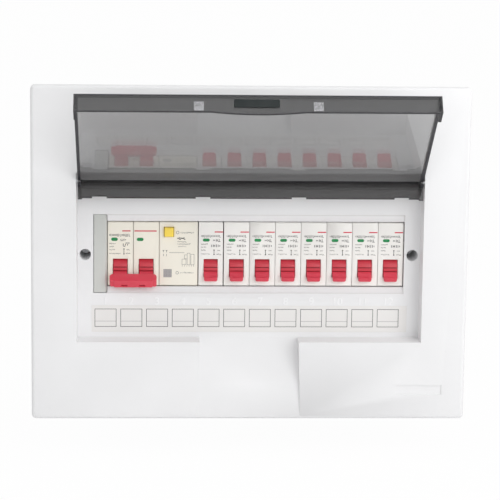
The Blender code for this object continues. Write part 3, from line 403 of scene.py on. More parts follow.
# %% Device cases
CASE_EDGE = 0.3 * MM
LOOSE_SHARE = 0.955  # width of the first case as a share of its node's
for device in BREAKERS:
    case = welded(device, f"{device}_case")
    if device == BREAKERS[0]:
        middle = (first_low.x + first_high.x) / 2
        case.data.transform(Matrix.Translation((middle, 0, 0)) @ Matrix.Diagonal((LOOSE_SHARE, 1, 1, 1))
                            @ Matrix.Translation((-middle, 0, 0)))
    case = soften(case, CASE_EDGE, 2)
    settle(case, "box", "white_plastic", DEVICE_WHITE, device)
for device in MAIN_POLES + ["rcd_housing"]:
    case = soften(welded(device, f"{device}_case"), CASE_EDGE, 2)
    settle(case, "box", "cream_plastic", DEVICE_CREAM, device)
print("cases", len(BREAKERS) + len(MAIN_POLES) + 1)

# %% [markdown]
# ## Toggles
# A toggle is a drum with a paddle. Two grooves run across the drum above the paddle, and the paddle's upper
# face is hollowed a little for the finger. The drum carries painted shade where it sits back in the case, and
# the grooves a darker painted shade so that they read as dark lines. One toggle is cut and rounded, then
# repeated along the row.

# %% Toggle shape
DRUM = 7.0 * MM
REST = math.radians(35.0)
GROOVES = ((19.5, 0.3 * MM), (41.5, 0.35 * MM))  # degrees above the paddle, half width
GROOVE_DEPTH = 1.2 * MM
PADDLE_HALF = 1.6 * MM  # from the axis to the paddle's upper face
HOLLOW_RADIUS, HOLLOW_DEPTH, HOLLOW_ALONG = 5.0 * MM, 0.35 * MM, 10.6 * MM
CUT_HALF = 8 * MM  # the cutters reach past both sides of a toggle


def from_axis(angle, radius):
    """A point at a distance from the toggles' axis, by its angle above the paddle."""
    slant = angle - REST
    return (TOGGLE_AXIS.y - radius * math.cos(slant), TOGGLE_AXIS.z + radius * math.sin(slant))


def toggle_cutters(half):
    """Two grooves and a finger hollow across a toggle this wide."""
    x_low, x_high = TOGGLE_AXIS.x - half, TOGGLE_AXIS.x + half
    cutters = []
    for angle, half_wide in GROOVES:
        slab = block((x_low, -DRUM - MM, -half_wide), (x_high, GROOVE_DEPTH - DRUM, half_wide), "groove")
        slab.data.transform(Matrix.Translation((0, TOGGLE_AXIS.y, TOGGLE_AXIS.z))
                            @ Matrix.Rotation(REST - math.radians(angle), 4, "X"))
        cutters.append(slab)
    rise = PADDLE_HALF + HOLLOW_RADIUS - HOLLOW_DEPTH
    y, z = from_axis(math.atan2(rise, HOLLOW_ALONG), math.hypot(rise, HOLLOW_ALONG))
    cutters.append(rod(HOLLOW_RADIUS, (x_low, y, z), (x_high, y, z), 96))
    return cutters


toggle = welded("mcb_lever_1", "toggle_master")
plain = len(toggle.data.polygons)
toggle = combine(toggle, toggle_cutters(CUT_HALF), "DIFFERENCE")
print("toggle faces", plain, "then", len(toggle.data.polygons))
toggle = soften(toggle, 0.45 * MM, 3, 40)


def painted(paddle):
    """Painted shade: the drum darker than the paddle where it sits back, and the grooves darker still."""
    paddle.data.materials.append(DRUM_SHADE_RED)
    paddle.data.materials.append(GROOVE_SHADE_RED)
    for face in paddle.data.polygons:
        radius = math.hypot(face.center.y - TOGGLE_AXIS.y, face.center.z - TOGGLE_AXIS.z)
        if radius < DRUM + 0.15 * MM:
            face.material_index = 1
        if radius < DRUM - 0.2 * MM and abs(face.normal.x) < 0.7:
            face.material_index = 2
    return [sum(face.material_index == slot for face in paddle.data.polygons) for slot in range(3)]


for index in range(len(BREAKERS)):
    paddle = moved(toggle, f"toggle_{index + 1}_red", (index * PITCH, 0, 0))
    settle(paddle, f"toggle_{index + 1}", "red_plastic", TOGGLE_RED, f"mcb_lever_{index + 1}")
    counts = painted(paddle)
print("faces of a toggle: paddle, drum, grooves", counts)
for index in (1, 2):
    low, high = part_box(f"main_lever_{index}")
    shift = (low.x + high.x) / 2 - TOGGLE_AXIS.x
    paddle = moved(toggle, f"main_toggle_{index}", (shift, 0, 0))
    settle(paddle, "main_switch", "red_plastic", TOGGLE_RED, f"main_lever_{index}")
    painted(paddle)
bpy.data.objects.remove(toggle, do_unlink=True)

# %% [markdown]
# ## Tie bar and test button
# A bar joins the main switch's two toggles, so that both poles switch together. Seen square on it has round
# upper corners and two ears below, which a bevel alone can't give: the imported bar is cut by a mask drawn
# as an outline of arcs, laid square to the paddles. The test button only needs round edges.

# %% Tie bar and test button
tie_low, tie_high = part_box("main_tie_bar")
tie_middle = (tie_low.x + tie_high.x) / 2
tie_half = (tie_high.x - tie_low.x) / 2
NEAR, FAR, EAR, EAR_SHORT = 10.4 * MM, 17.4 * MM, 2.8 * MM, 0.8 * MM


def arc(x, y, radius, start, end, steps=8):
    """Points along an arc, by its middle, radius and angles."""
    angles = [math.radians(start + (end - start) * step / steps) for step in range(steps + 1)]
    return [(x + radius * math.cos(angle), y + radius * math.sin(angle)) for angle in angles]


def tie_mask():
    """The bar's outline seen square on: round upper corners, ears a little shorter than the middle."""
    upper, lower, slope, reach = 2.8 * MM, 1.2 * MM, 0.6 * MM, 5 * MM
    right_side = arc(tie_half - upper, -NEAR - upper, upper, 90, 0)
    right_side += arc(tie_half - lower, -FAR + EAR_SHORT + lower, lower, 0, -90, 4)
    right_side += [(tie_half - EAR, -FAR + EAR_SHORT), (tie_half - EAR - slope, -FAR)]
    outline = right_side + [(-x, z) for x, z in reversed(right_side)]
    bm = bmesh.new()
    face = bm.faces.new([bm.verts.new((x, -reach, z)) for x, z in outline])
    swept_out = bmesh.ops.extrude_face_region(bm, geom=[face])
    bmesh.ops.translate(bm, vec=(0, 2 * reach, 0),
                        verts=[item for item in swept_out["geom"] if isinstance(item, bmesh.types.BMVert)])
    mask = from_bmesh(bm, "tie_mask")
    mask.data.transform(Matrix.Translation((tie_middle, TOGGLE_AXIS.y, TOGGLE_AXIS.z))
                        @ Matrix.Rotation(REST - math.pi / 2, 4, "X"))
    return mask


tie = combine(welded("main_tie_bar", "tie_bar"), [tie_mask()], "INTERSECT")
tie = soften(tie, 1.0 * MM, 4)
settle(tie, "main_switch", "red_plastic", TOGGLE_RED, "main_tie_bar")
button = soften(welded("rcd_test_button", "test_button"), 0.6 * MM, 3)
settle(button, "test_button", "yellow_plastic", BUTTON_YELLOW, "rcd_test_button")
print("tie bar faces", len(tie.data.polygons), "button faces", len(button.data.polygons))

# %% [markdown]
# ## Flap
# The flap is a shallow tray of smoked plastic, open at the back, hinged along the top of the recess. It is
# modelled shut: a panel in front, a lip along the free edge, a flange at the hinge, low flanges at the
# sides. Turning a copy of its mesh back to that position sorts its faces: the narrow ones are rims.

# %% Flap
SHEET = 2.4 * MM
NEAR_EDGE = 3.0 * MM  # a face this close to an edge belongs to the flange there
FOLD_REACH = 2.2 * MM  # the rounded folds end this far behind the panel's face
FLAT, FACING = 0.999, 0.7  # how square to an axis a face is
RIM, HINGE_FLANGE, LIP = 1, 2, 3  # the flap's materials after the sheet's own


def turned(mesh, angle):
    """Turn a mesh about the flap's hinge axis."""
    turn = Matrix.Translation(HINGE) @ Matrix.Rotation(angle, 4, "X") @ Matrix.Translation(-HINGE)
    mesh.transform(turn)


flap = soften(welded("door", "flap_shell"), 0.3 * MM, 2)
shut = flap.data.copy()
turned(shut, OPEN)
half_flap = max(vertex.co.x for vertex in shut.vertices)
inner_x = half_flap - SHEET
front_y = min(vertex.co.y for vertex in shut.vertices)
low_z = min(vertex.co.z for vertex in shut.vertices)
high_z = max(vertex.co.z for vertex in shut.vertices)
flap.data.materials.clear()
for smoke in (SMOKE, SMOKE_RIM, SMOKE_FLANGE_SHADE, SMOKE_LIP):
    flap.data.materials.append(smoke)
for face, place in zip(flap.data.polygons, shut.polygons):
    middle, normal = place.center, place.normal
    flat = max(abs(value) for value in normal) > FLAT
    rear_rim = normal.y > FACING and middle.y > front_y + NEAR_EDGE
    fold = not flat and middle.y < front_y + FOLD_REACH
    beside = abs(middle.x) > inner_x and middle.z < high_z - NEAR_EDGE
    if rear_rim or fold or (beside and abs(normal.x) > FACING):
        face.material_index = RIM
    elif abs(normal.z) > FLAT and middle.z > high_z - NEAR_EDGE:
        face.material_index = HINGE_FLANGE
    elif abs(normal.z) > FLAT and middle.z < low_z + NEAR_EDGE:
        face.material_index = LIP
flap.data.shade_flat()
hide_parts("door")
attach(flap, "flap")
rims = sum(face.material_index == RIM for face in flap.data.polygons)
print("flap faces", len(flap.data.polygons), "of which rims", rims)

# %% [markdown]
# ## Dark bands in the folds
# Seen from below, the thickness of the panel shows as a dark band along the lip's fold and at its two ends.
# A see-through shader knows nothing of the way light takes inside the sheet, so bars inside the sheet's own
# corners stand for it. The faint bar along the hinge stands for the doubled sheet there and is also painted
# shade for the shadowed recess behind it. They are laid out on the shut flap and then turned open with it.

# %% Bands
BAND_INSET = 0.3 * MM
BAND_ROUND = 0.65 * MM
band_front = front_y + 0.45 * MM
band_x = half_flap - BAND_INSET
lip_bars = [block((-band_x, band_front, low_z + 0.4 * MM),
                  (band_x, front_y + 2.9 * MM, low_z + 1.7 * MM), "band")]
for way in (-1, 1):
    x_low, x_high = sorted((way * (half_flap - 2.9 * MM), way * band_x))
    lip_bars.append(block((x_low, band_front, low_z + 0.35 * MM),
                          (x_high, front_y + 12.2 * MM, low_z + 1.75 * MM), "band"))
hinge_x = half_flap - 2.2 * MM
# Partly painted shade: stands for the doubled sheet at the hinge and the shadowed recess behind it
hinge_shade_bar = block((-hinge_x, band_front, high_z - 1.7 * MM),
                  (hinge_x, front_y + 6.6 * MM, high_z - BAND_INSET), "hinge_shade_band")
for piece, material in ((joined(lip_bars, "fold_bands"), SMOKE_RIM), (hinge_shade_bar, SMOKE_HINGE_SHADE)):
    piece = soften(piece, BAND_ROUND, 3)
    turned(piece.data, -OPEN)
    settle(piece, "flap", "smoke_plastic", material)
    print(piece.name, "faces", len(piece.data.polygons))

# %% [markdown]
# ## Frosted catches and the plate
# Two snap catches sit on the outside of the lip. Their sand-like finish scatters the light, so they are thin
# patches with a finish of their own, pale from the frosting and with painted highlights in broken streaks,
# made on the shut flap like the bands. The plate between them is the packed one with round edges.

# %% Catches
CATCH_X, CATCH_HALF = 38.5 * MM, 3.2 * MM
CATCH_NEAR, CATCH_FAR = 6.0 * MM, 12.6 * MM  # behind the panel's face
CATCH_PROUD, CATCH_DEEP = 0.02 * MM, 0.32 * MM  # outside and inside the lip's face
catches = []
for way in (-1, 1):
    catches.append(block((way * CATCH_X - CATCH_HALF, front_y + CATCH_NEAR, low_z - CATCH_PROUD),
                         (way * CATCH_X + CATCH_HALF, front_y + CATCH_FAR, low_z + CATCH_DEEP), "catch"))
catch = soften(joined(catches, "lip_catches"), 0.15 * MM, 2)
turned(catch.data, -OPEN)
settle(catch, "flap", "smoke_plastic", FROST_AND_GLINTS)

# %% Plate on the lip
plate = soften(welded("name_plate", "lip_plate"), 0.15 * MM, 2)
settle(plate, "flap", "plate_green", PLATE_GREEN, "name_plate")

# %% [markdown]
# ## Strips
# A blanking strip fills the window beside the devices; its front corner is cut off at a slant, which a turned
# square bar does in one boolean. The label strip is a film under clear plastic, a shade greyer than the
# cover. It is drawn a hair larger than its node, so that no gap shows around it.

# %% Strips
SLANT_HALF, SLANT_REACH = 0.9 * MM, 60 * MM
SEAT = 0.27 * MM
strip_low, strip_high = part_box("blanking_strip")
corner = block((-SLANT_HALF, -SLANT_HALF, -SLANT_REACH), (SLANT_HALF, SLANT_HALF, SLANT_REACH), "corner")
corner.data.transform(Matrix.Translation((strip_high.x, strip_low.y, 0))
                      @ Matrix.Rotation(math.pi / 4, 4, "Z"))
strip = combine(welded("blanking_strip", "blank_strip"), [corner], "DIFFERENCE")
strip = soften(strip, 0.3 * MM, 2)
settle(strip, "box", "grey_plastic", BLANK_GREY, "blanking_strip")
seat = Vector((SEAT, 0, SEAT))
film = soften(block(label_low - seat, label_high + seat, "label_film"), 0.1 * MM, 2)
settle(film, "box", "label_paper", LABEL_FILM, "label_strip")

# %% [markdown]
# ## Behind the cover
# The wall box is grey moulded plastic. Inside it are a zinc plated rail, brass bars on coloured holders and a
# copper comb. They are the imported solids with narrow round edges. Screws, pins and clips stay as packed and
# only get their finish.

# %% Wall box and metalwork
FINE_EDGE = 0.2 * MM
wall_box = soften(welded("back_box", "wall_box"), 0.5 * MM, 2)
settle(wall_box, "box", "wall_box_plastic", BOX_GREY, "back_box")
for inside, slot_name, material in (
        ("din_rail", "zinc_steel", ZINC), ("neutral_bar", "brass", BRASS), ("earth_bar", "brass", BRASS),
        ("neutral_bar_holder", "blue_plastic", HOLDER_BLUE),
        ("earth_bar_holder", "green_plastic", HOLDER_GREEN),
        ("comb_busbar", "copper", COPPER), ("comb_cover", "grey_plastic", BLANK_GREY)):
    piece = soften(welded(inside, f"{inside}_fine"), FINE_EDGE, 2)
    settle(piece, "box", slot_name, material, inside)
coated = 0
for name, packed in nodes.items():
    for sign, material in (("screw", ZINC), ("pin", ZINC), ("clip", CLIP_BLACK)):
        if sign in name:
            packed.data.materials.clear()
            packed.data.materials.append(material)
            coated += 1
print("screws, pins and clips", coated)

# %% [markdown]
# ## Prints that repeat
# The same small print stands on all eight breakers, and the same frame twelve times on the label film. Both
# are one shape and a rule, so they are node trees: one repeats a shape along a line, one makes a line of
# small strokes that stands for lettering too fine to read, and one draws a rectangular frame.

# %% Node tree helpers
def new_tree(name, sockets):
    """An empty geometry tree with named inputs and one geometry output."""
    tree = bpy.data.node_groups.new(name, "GeometryNodeTree")
    for label, kind in sockets:
        tree.interface.new_socket(label, in_out="INPUT", socket_type="NodeSocket" + kind)
    tree.interface.new_socket("Geometry", in_out="OUTPUT", socket_type="NodeSocketGeometry")
    return tree, tree.nodes.new("NodeGroupInput"), tree.nodes.new("NodeGroupOutput")


def node(tree, kind, links=None, **settings):
    """A node with its settings, and its inputs linked or set by socket index or name."""
    made = tree.nodes.new(kind)
    for label, value in settings.items():
        setattr(made, label, value)
    for socket, source in (links or {}).items():
        if isinstance(source, bpy.types.NodeSocket):
            tree.links.new(source, made.inputs[socket])
        else:
            made.inputs[socket].default_value = source
    return made


def grown(tree, name, base=None, **values):
    """Run a tree once and keep what it makes as a plain mesh."""
    piece = link(base or bpy.data.meshes.new(name), name)
    modifier = piece.modifiers.new("nodes", "NODES")
    modifier.node_group = tree
    inputs = {item.name: item.identifier for item in tree.interface.items_tree if item.in_out == "INPUT"}
    for label, value in values.items():
        modifier[inputs[label]] = value
    return apply_modifiers(piece)


# %% Repeat a shape along X
ROW, row_in, row_out = new_tree("repeat in a row", (("Geometry", "Geometry"), ("Count", "Int"),
                                                    ("Step", "Float"), ("Material", "Material")))
row_step = node(ROW, "ShaderNodeCombineXYZ", {"X": row_in.outputs["Step"]})
row_line = node(ROW, "GeometryNodeMeshLine", {"Count": row_in.outputs["Count"],
                                              "Offset": row_step.outputs[0]})
row_copies = node(ROW, "GeometryNodeInstanceOnPoints", {"Points": row_line.outputs["Mesh"],
                                                        "Instance": row_in.outputs["Geometry"]})
row_real = node(ROW, "GeometryNodeRealizeInstances", {"Geometry": row_copies.outputs["Instances"]})
row_paint = node(ROW, "GeometryNodeSetMaterial", {"Geometry": row_real.outputs["Geometry"],
                                                  "Material": row_in.outputs["Material"]})
ROW.links.new(row_paint.outputs["Geometry"], row_out.inputs["Geometry"])


def repeated(piece, name, count, step, material):
    """The piece's mesh, this many times along X."""
    mesh = piece.data
    bpy.data.objects.remove(piece, do_unlink=True)
    return grown(ROW, name, mesh, Count=count, Step=step, Material=material)


# %% A line of strokes
SHORTEST = 0.45  # of an upright's height
LEVEL_RISE, LEVEL_WIDE = 0.45, 0.85  # of the height, and of the step
LEVEL_ODDS = 0.7  # share of the steps that have a level stroke
STROKES, ink_in, ink_out = new_tree("line of strokes", (
    ("Start", "Vector"), ("Length", "Float"), ("Height", "Float"), ("Step", "Float"), ("Weight", "Float"),
    ("Relief", "Float"), ("Seed", "Int"), ("Material", "Material")))
ink_count = node(STROKES, "ShaderNodeMath", {0: ink_in.outputs["Length"], 1: ink_in.outputs["Step"]},
                 operation="DIVIDE")
ink_step = node(STROKES, "ShaderNodeCombineXYZ", {"X": ink_in.outputs["Step"]})
ink_line = node(STROKES, "GeometryNodeMeshLine", {
    "Count": ink_count.outputs[0], "Offset": ink_step.outputs[0], "Start Location": ink_in.outputs["Start"]})
upright_size = node(STROKES, "ShaderNodeCombineXYZ", {
    "X": ink_in.outputs["Weight"], "Y": ink_in.outputs["Relief"], "Z": ink_in.outputs["Height"]})
upright = node(STROKES, "GeometryNodeMeshCube", {"Size": upright_size.outputs[0]})
tall = node(STROKES, "FunctionNodeRandomValue", {"Min": (1.0, 1.0, SHORTEST), "Max": (1.0, 1.0, 1.0),
                                                 "Seed": ink_in.outputs["Seed"]}, data_type="FLOAT_VECTOR")
uprights = node(STROKES, "GeometryNodeInstanceOnPoints", {"Points": ink_line.outputs["Mesh"],
                                                          "Instance": upright.outputs["Mesh"],
                                                          "Scale": tall.outputs["Value"]})
level = node(STROKES, "FunctionNodeRandomValue", {"Min": -1, "Max": 1, "Seed": ink_in.outputs["Seed"]},
             data_type="INT")
half_high = node(STROKES, "ShaderNodeMath", {0: ink_in.outputs["Height"], 1: LEVEL_RISE},
                 operation="MULTIPLY")
rise = node(STROKES, "ShaderNodeMath", {0: level.outputs["Value"], 1: half_high.outputs[0]},
            operation="MULTIPLY")
half_step = node(STROKES, "ShaderNodeMath", {0: ink_in.outputs["Step"], 1: 0.5}, operation="MULTIPLY")
lift = node(STROKES, "ShaderNodeCombineXYZ", {"X": half_step.outputs[0], "Z": rise.outputs[0]})
lifted = node(STROKES, "GeometryNodeSetPosition", {"Geometry": ink_line.outputs["Mesh"],
                                                   "Offset": lift.outputs[0]})
level_wide = node(STROKES, "ShaderNodeMath", {0: ink_in.outputs["Step"], 1: LEVEL_WIDE},
                  operation="MULTIPLY")
level_size = node(STROKES, "ShaderNodeCombineXYZ", {"X": level_wide.outputs[0], "Y": ink_in.outputs["Relief"],
                                                    "Z": ink_in.outputs["Weight"]})
level_bar = node(STROKES, "GeometryNodeMeshCube", {"Size": level_size.outputs[0]})
chosen = node(STROKES, "FunctionNodeRandomValue", {"Probability": LEVEL_ODDS,
                                                   "Seed": ink_in.outputs["Seed"]},
              data_type="BOOLEAN")
levels = node(STROKES, "GeometryNodeInstanceOnPoints", {"Points": lifted.outputs["Geometry"],
                                                        "Instance": level_bar.outputs["Mesh"],
                                                        "Selection": chosen.outputs["Value"]})
ink_all = node(STROKES, "GeometryNodeJoinGeometry")
STROKES.links.new(uprights.outputs["Instances"], ink_all.inputs[0])
STROKES.links.new(levels.outputs["Instances"], ink_all.inputs[0])
ink_real = node(STROKES, "GeometryNodeRealizeInstances", {"Geometry": ink_all.outputs["Geometry"]})
ink_paint = node(STROKES, "GeometryNodeSetMaterial", {"Geometry": ink_real.outputs["Geometry"],
                                                      "Material": ink_in.outputs["Material"]})
STROKES.links.new(ink_paint.outputs["Geometry"], ink_out.inputs["Geometry"])

# %% A rectangular frame
FRAME, frame_in, frame_out = new_tree("frame", (("Width", "Float"), ("Height", "Float"), ("Line", "Float"),
                                                ("Relief", "Float"), ("Material", "Material")))
outline = node(FRAME, "GeometryNodeCurvePrimitiveQuadrilateral", {"Width": frame_in.outputs["Width"],
                                                                  "Height": frame_in.outputs["Height"]})
section = node(FRAME, "GeometryNodeCurvePrimitiveQuadrilateral", {"Width": frame_in.outputs["Line"],
                                                                  "Height": frame_in.outputs["Relief"]})
swept = node(FRAME, "GeometryNodeCurveToMesh", {"Curve": outline.outputs["Curve"],
                                                "Profile Curve": section.outputs["Curve"]})
upright_frame = node(FRAME, "GeometryNodeTransform", {"Geometry": swept.outputs["Mesh"],
                                                      "Rotation": (math.pi / 2, 0.0, 0.0)})
frame_real = node(FRAME, "GeometryNodeRealizeInstances", {"Geometry": upright_frame.outputs["Geometry"]})
frame_paint = node(FRAME, "GeometryNodeSetMaterial", {"Geometry": frame_real.outputs["Geometry"],
                                                      "Material": frame_in.outputs["Material"]})
FRAME.links.new(frame_paint.outputs["Geometry"], frame_out.inputs["Geometry"])
print("trees", ROW.name, "|", STROKES.name, "|", FRAME.name)

# %% Ink shapes
INK = 0.03 * MM  # half the thickness of a print, which lies half sunk in its face
PILL_STEPS, PILL_EDGE = 8, 0.12 * MM


def strokes(x, z, length, height, step, weight, seed, material=INK_DARK, y=FACE):
    """Lettering too fine to read; x and z are the middle of its left end, in millimetres."""
    return grown(STROKES, "strokes", Start=(x * MM, y, z * MM), Length=length * MM, Height=height * MM,
                 Step=step * MM, Weight=weight * MM, Relief=2 * INK, Seed=seed, Material=material)


def bar(x_low, x_high, z_low, z_high, y=FACE):
    """A printed rectangle between limits in millimetres."""
    return block((x_low * MM, y - INK, z_low * MM), (x_high * MM, y + INK, z_high * MM), "bar")


def line(points, weight, y=FACE):
    """A printed line through points in millimetres, straight up or across between neighbours."""
    half = weight / 2
    bars = []
    for a, b in zip(points, points[1:]):
        (x_low, x_high), (z_low, z_high) = sorted((a[0], b[0])), sorted((a[1], b[1]))
        bars.append(bar(x_low - half, x_high + half, z_low - half, z_high + half, y))
    return bars


def pill(x_low, x_high, z_low, z_high, depth=0.25):
    """A small window with round ends, standing out a little from the face."""
    radius = (z_high - z_low) / 2 * MM
    ends = (x_low * MM + radius, x_high * MM - radius)
    middle = (z_low + z_high) / 2 * MM
    bm = bmesh.new()
    rim = []
    for centre, start in ((ends[1], -90), (ends[0], 90)):
        for step in range(PILL_STEPS + 1):
            angle = math.radians(start + 180 / PILL_STEPS * step)
            rim.append(bm.verts.new((centre + radius * math.cos(angle), FACE - depth * MM,
                                     middle + radius * math.sin(angle))))
    face = bm.faces.new(rim)
    swept_out = bmesh.ops.extrude_face_region(bm, geom=[face])
    bmesh.ops.translate(bm, vec=(0, 2 * depth * MM, 0),
                        verts=[item for item in swept_out["geom"] if isinstance(item, bmesh.types.BMVert)])
    return soften(from_bmesh(bm, "pill"), PILL_EDGE, 2)


# %% [markdown]
# ## Prints on the devices
# Each face carries a maker's line, ratings, a small diagram, a red rule and a green state window. They are
# too fine to read at this size, so they are rows of strokes, bars and lines in the inks of the real ones,
# placed in millimetres from the middle of the device. The windows stand out a little and are rounded.

# %% Print on the breakers
def centre_of(device):
    """The middle of a device across the row, in millimetres."""
    low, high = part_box(device)
    return (low.x + high.x) / 2 / MM


mid = centre_of("mcb_1")
dark = joined([
    strokes(mid - 6.7, 10.0, 14.3, 1.8, 0.85, 0.3, 3),
    strokes(mid + 1.8, 7.0, 5.4, 2.1, 1.0, 0.32, 5),
    strokes(mid + 0.5, 3.1, 7.3, 2.2, 1.15, 0.42, 8),
    *line([(mid + 2.25, 0.2), (mid + 2.25, -3.0)], 0.35),
    bar(mid + 1.8, mid + 2.7, -3.4, -2.7), bar(mid + 1.8, mid + 2.7, -0.3, 0.4),
], "breaker_dark")
grey = joined([
    strokes(mid - 6.7, 4.4, 5.1, 0.9, 0.55, 0.2, 11),
    strokes(mid - 6.7, 2.2, 4.0, 0.9, 0.55, 0.2, 12),
    strokes(mid - 6.7, 0.1, 3.8, 0.9, 0.55, 0.2, 13),
    strokes(mid - 6.7, -2.6, 6.5, 0.9, 0.55, 0.2, 14),
    strokes(mid + 4.6, -0.2, 2.4, 0.9, 0.55, 0.2, 15),
    strokes(mid + 4.2, -2.9, 3.4, 0.9, 0.55, 0.2, 16),
], "breaker_grey")
red = bar(mid + 2.6, mid + 8.5, 12.5, 13.3)
settle(repeated(dark, "breaker_print_dark", len(BREAKERS), PITCH, INK_DARK), "box", "white_plastic", INK_DARK)
settle(repeated(grey, "breaker_print_grey", len(BREAKERS), PITCH, INK_GREY), "box", "white_plastic", INK_GREY)
settle(repeated(red, "breaker_print_red", len(BREAKERS), PITCH, INK_RED), "box", "white_plastic", INK_RED)
green = pill(mid - 5.6, mid - 0.8, 6.1, 8.2)
settle(repeated(green, "breaker_indicators", len(BREAKERS), PITCH, WINDOW_GREEN), "box", "white_plastic",
       WINDOW_GREEN)

# %% Print on the main switch
left, right_pole = centre_of("main_pole_1"), centre_of("main_pole_2")
settle(joined([
    strokes(left - 7.5, 10.5, 14.5, 1.9, 0.9, 0.32, 21),
    strokes(left + 0.1, 7.2, 4.3, 1.7, 1.0, 0.3, 22),
    strokes(left + 2.0, 3.7, 4.8, 2.6, 1.5, 0.5, 23),
    *line([(left + 2.5, 0.8), (left + 2.5, -2.8)], 0.35),
    bar(left + 2.1, left + 2.9, -3.2, -2.5), bar(left + 2.1, left + 2.9, 0.3, 1.0),
], "main_print_dark"), "box", "cream_plastic", INK_DARK)
settle(joined([
    strokes(left - 7.5, 4.5, 4.6, 0.9, 0.55, 0.2, 24),
    strokes(left - 7.5, 2.4, 3.8, 0.9, 0.55, 0.2, 25),
    strokes(left - 7.5, 0.2, 4.0, 0.9, 0.55, 0.2, 26),
    strokes(left - 7.5, -2.5, 8.6, 0.9, 0.55, 0.2, 27),
    strokes(left + 4.4, 0.1, 2.6, 0.9, 0.55, 0.2, 28),
    strokes(left + 4.0, -2.5, 3.4, 0.9, 0.55, 0.2, 29),
], "main_print_grey"), "box", "cream_plastic", INK_GREY)
settle(joined([bar(left + 1.3, left + 7.0, 13.0, 13.8), bar(right_pole - 8.2, right_pole + 7.2, 13.0, 13.8)],
              "main_print_red"), "box", "cream_plastic", INK_RED)
settle(joined([pill(left - 6.4, left - 1.8, 6.3, 8.7), pill(right_pole - 6.6, right_pole - 1.9, 6.3, 8.6)],
              "main_indicators"), "box", "cream_plastic", WINDOW_GREEN)

# %% Print on the residual current device
side_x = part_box("rcd_housing")[0].x / MM
settle(joined([strokes(side_x + 12.7, 8.3, 6.4, 1.7, 1.1, 0.5, 31)], "rcd_print_dark"),
       "box", "cream_plastic", INK_DARK)
diagram = line([(side_x + 7.0, -1.85), (side_x + 17.3, -1.85)], 0.25)
for column in range(6):
    x = side_x + 16.0 + column * 1.6
    diagram += line([(x, -11.6), (x, -10.6)], 0.2)
for x_low, x_high, z_low, z_high in ((15.8, 18.6, -10.2, -6.4), (19.4, 21.4, -10.4, -2.2),
                                     (22.0, 24.2, -10.4, -3.0), (17.6, 19.4, -6.2, -3.4)):
    diagram += line([(side_x + x_low, z_low), (side_x + x_high, z_low), (side_x + x_high, z_high),
                     (side_x + x_low, z_high), (side_x + x_low, z_low)], 0.22)
for x in (2.9, 5.0):
    diagram += line([(side_x + x, -0.2), (side_x + x, -1.5)], 0.28)
    diagram += line([(side_x + x, -2.8), (side_x + x, -4.2)], 0.28)
    diagram.append(bar(side_x + x - 0.6, side_x + x + 0.6, -0.6, -0.2))
diagram += [
    strokes(side_x + 14.8, 12.4, 10.2, 1.2, 0.8, 0.24, 32),
    strokes(side_x + 12.7, 5.9, 6.4, 0.9, 0.7, 0.22, 33),
    strokes(side_x + 12.7, 4.3, 9.6, 0.9, 0.7, 0.22, 34),
    strokes(side_x + 13.2, 2.6, 6.0, 0.7, 0.7, 0.2, 35),
    strokes(side_x + 14.8, -16.1, 10.2, 1.1, 0.8, 0.24, 36),
]
settle(joined(diagram, "rcd_print_grey"), "box", "cream_plastic", INK_GREY)


def ring(x, z, radius, weight, sides=20):
    """A printed circle."""
    bm = bmesh.new()
    around = []
    for step in range(sides):
        angle = 2 * math.pi * step / sides
        pair = [((x + reach * math.cos(angle)) * MM, FACE - INK, (z + reach * math.sin(angle)) * MM)
                for reach in (radius, radius - weight)]
        around.append([bm.verts.new(point) for point in pair])
    for step in range(sides):
        a, b = around[step], around[(step + 1) % sides]
        bm.faces.new((a[0], b[0], b[1], a[1]))
    swept_out = bmesh.ops.extrude_face_region(bm, geom=list(bm.faces))
    bmesh.ops.translate(bm, vec=(0, 2 * INK, 0),
                        verts=[item for item in swept_out["geom"] if isinstance(item, bmesh.types.BMVert)])
    return from_bmesh(bm, "ring")


settle(joined([ring(side_x + 12.7, 12.4, 1.1, 0.28), ring(side_x + 12.5, -16.1, 1.1, 0.28)], "rcd_rings"),
       "box", "cream_plastic", INK_GREY)

# %% [markdown]
# ## Code square
# The real face carries a small square code. This one is a rule over rows and columns that looks as busy and
# says nothing: dark cells on a pale ground, which lies a hair deeper so that the two never share a plane.

# %% Code square on the residual current device
CELLS = 16
square_x, square_z, cell = side_x + 2.9, -19.3, 0.36
ground = bar(square_x, square_x + CELLS * cell, square_z, square_z + CELLS * cell)
ground.data.transform(Matrix.Translation((0, INK / 4, 0)))
settle(joined([ground], "rcd_code_ground"), "box", "cream_plastic", INK_PALE)
cells = [bar(square_x + column * cell, square_x + (column + 1) * cell, square_z + row * cell,
             square_z + (row + 1) * cell)
         for row in range(CELLS) for column in range(CELLS)
         if (row * row + column * 5 + row * column) % 3 == 0]
print("cells", len(cells), "of", CELLS * CELLS)
settle(joined(cells, "rcd_code_square"), "box", "cream_plastic", INK_GREY)

# %% [markdown]
# ## Painted shade line around the window
# The cover is a hair lower around the devices than elsewhere in the field. The step is too low to model as
# such, so the shade along its edge is painted as a fine darker line, with a short turn at the right-hand
# corners.

# %% Painted shade line around the window
LEDGE, LEDGE_WIDE = 3.7, 0.5
LEDGE_INSET, LEDGE_GAP = 3.0, 0.4  # from the blanking strip's ends, and beside the last breaker
line_left, line_right = strip_high.x / MM, last_high.x / MM + LEDGE_GAP
line_low, line_high = strip_low.z / MM + LEDGE_INSET, strip_high.z / MM - LEDGE_INSET
edge = []
for level_z, corner_z in ((line_high, line_high - LEDGE), (line_low, line_low + LEDGE)):
    edge += line([(line_left, level_z), (line_right, level_z), (line_right, corner_z)], LEDGE_WIDE, FLOOR)
print("line around the window", len(edge), "stretches")
settle(joined(edge, "window_step_shade"), "box", "cover_plastic", STEP_SHADE_WHITE)

